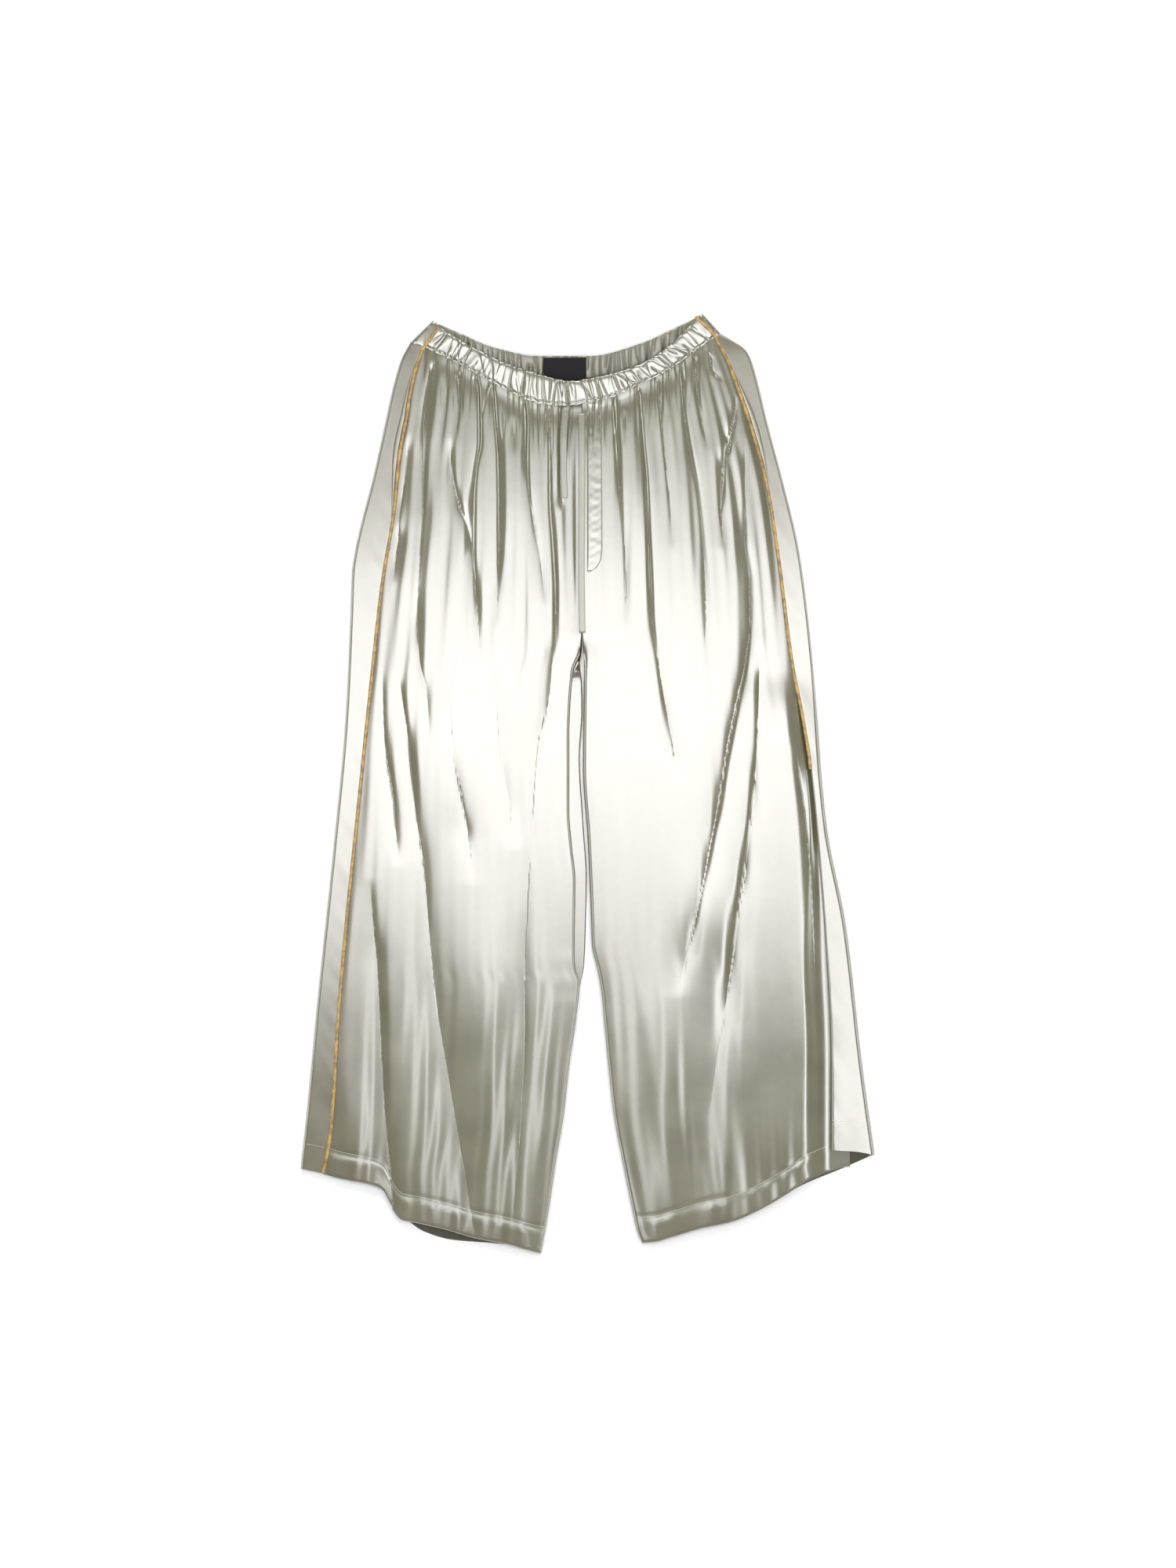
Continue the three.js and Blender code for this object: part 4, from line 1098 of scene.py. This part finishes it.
half, level = floorSettings["half"], floorSettings["level"]
floorMesh = bpy.data.meshes.new("floor")
corners = [(x * half, y * half, level) for x, y in ((-1, -1), (1, -1), (1, 1), (-1, 1))]
floorMesh.from_pydata(corners, [], [(0, 1, 2, 3)])
floor = bpy.data.objects.new("floor", floorMesh)
bpy.context.scene.collection.objects.link(floor)
paper = Finish("paleFloor")
paper.feed(Base_Color=floorSettings["color"], Roughness=floorSettings["roughness"])
floor.data.materials.append(paper.material)

# Light: wide soft panels that the satin mirrors, in metres, degrees and watts
lights = {
    "overhead": {"size": (1.9, 0.79), "at": (0.0, 0.065, 2.2), "power": 15.5},
    "around": {"size": (1.9, 1.0), "at": (0.0, 0.4, 2.25), "power": 7.5},
    "leftLeg": {"size": (0.14, 0.6), "at": (-0.09, -0.62, 2.2), "power": 1.3},
    "rightEdge": {"size": (0.4, 1.2), "at": (0.98, -0.5, 2.2), "power": 7.5},
    "leftSide": {"size": (1.4, 4), "at": (-3.4, 0.0, 1.1), "lean": -72, "power": 48},
    "rightSide": {"size": (1.4, 4), "at": (3.4, 0.0, 1.1), "lean": 72, "power": 48},
    "beyondWaist": {"size": (4, 2), "at": (0.0, 4.2, 3.0), "turn": -54, "power": 130},
    "beyondBand": {"size": (1.8, 1.0), "at": (0.0, 2.0, 2.2), "turn": -42, "power": 8},
    "beyondHems": {"size": (4, 2), "at": (0.0, -4.2, 3.0), "turn": 54, "power": 90},
}
for name, facts in lights.items():
    lamp = bpy.data.lights.new(name, "AREA")
    lamp.shape = "RECTANGLE"
    lamp.size, lamp.size_y = facts["size"]
    lamp.energy = facts["power"]
    holder = bpy.data.objects.new(name, lamp)
    holder.location = facts["at"]
    holder.rotation_euler = (math.radians(facts.get("turn", 0)), math.radians(facts.get("lean", 0)), 0)
    holder.visible_camera = False
    bpy.context.scene.collection.objects.link(holder)

worldSettings = {"color": (0.95, 0.97, 1.0, 1), "strength": 0.2}

world = bpy.data.worlds.new("studio")
world.use_nodes = True
world.node_tree.nodes["Background"].inputs["Color"].default_value = worldSettings["color"]
world.node_tree.nodes["Background"].inputs["Strength"].default_value = worldSettings["strength"]
bpy.context.scene.world = world
bpy.context.scene.view_settings.view_transform = "Standard"
print("floor and lights set")
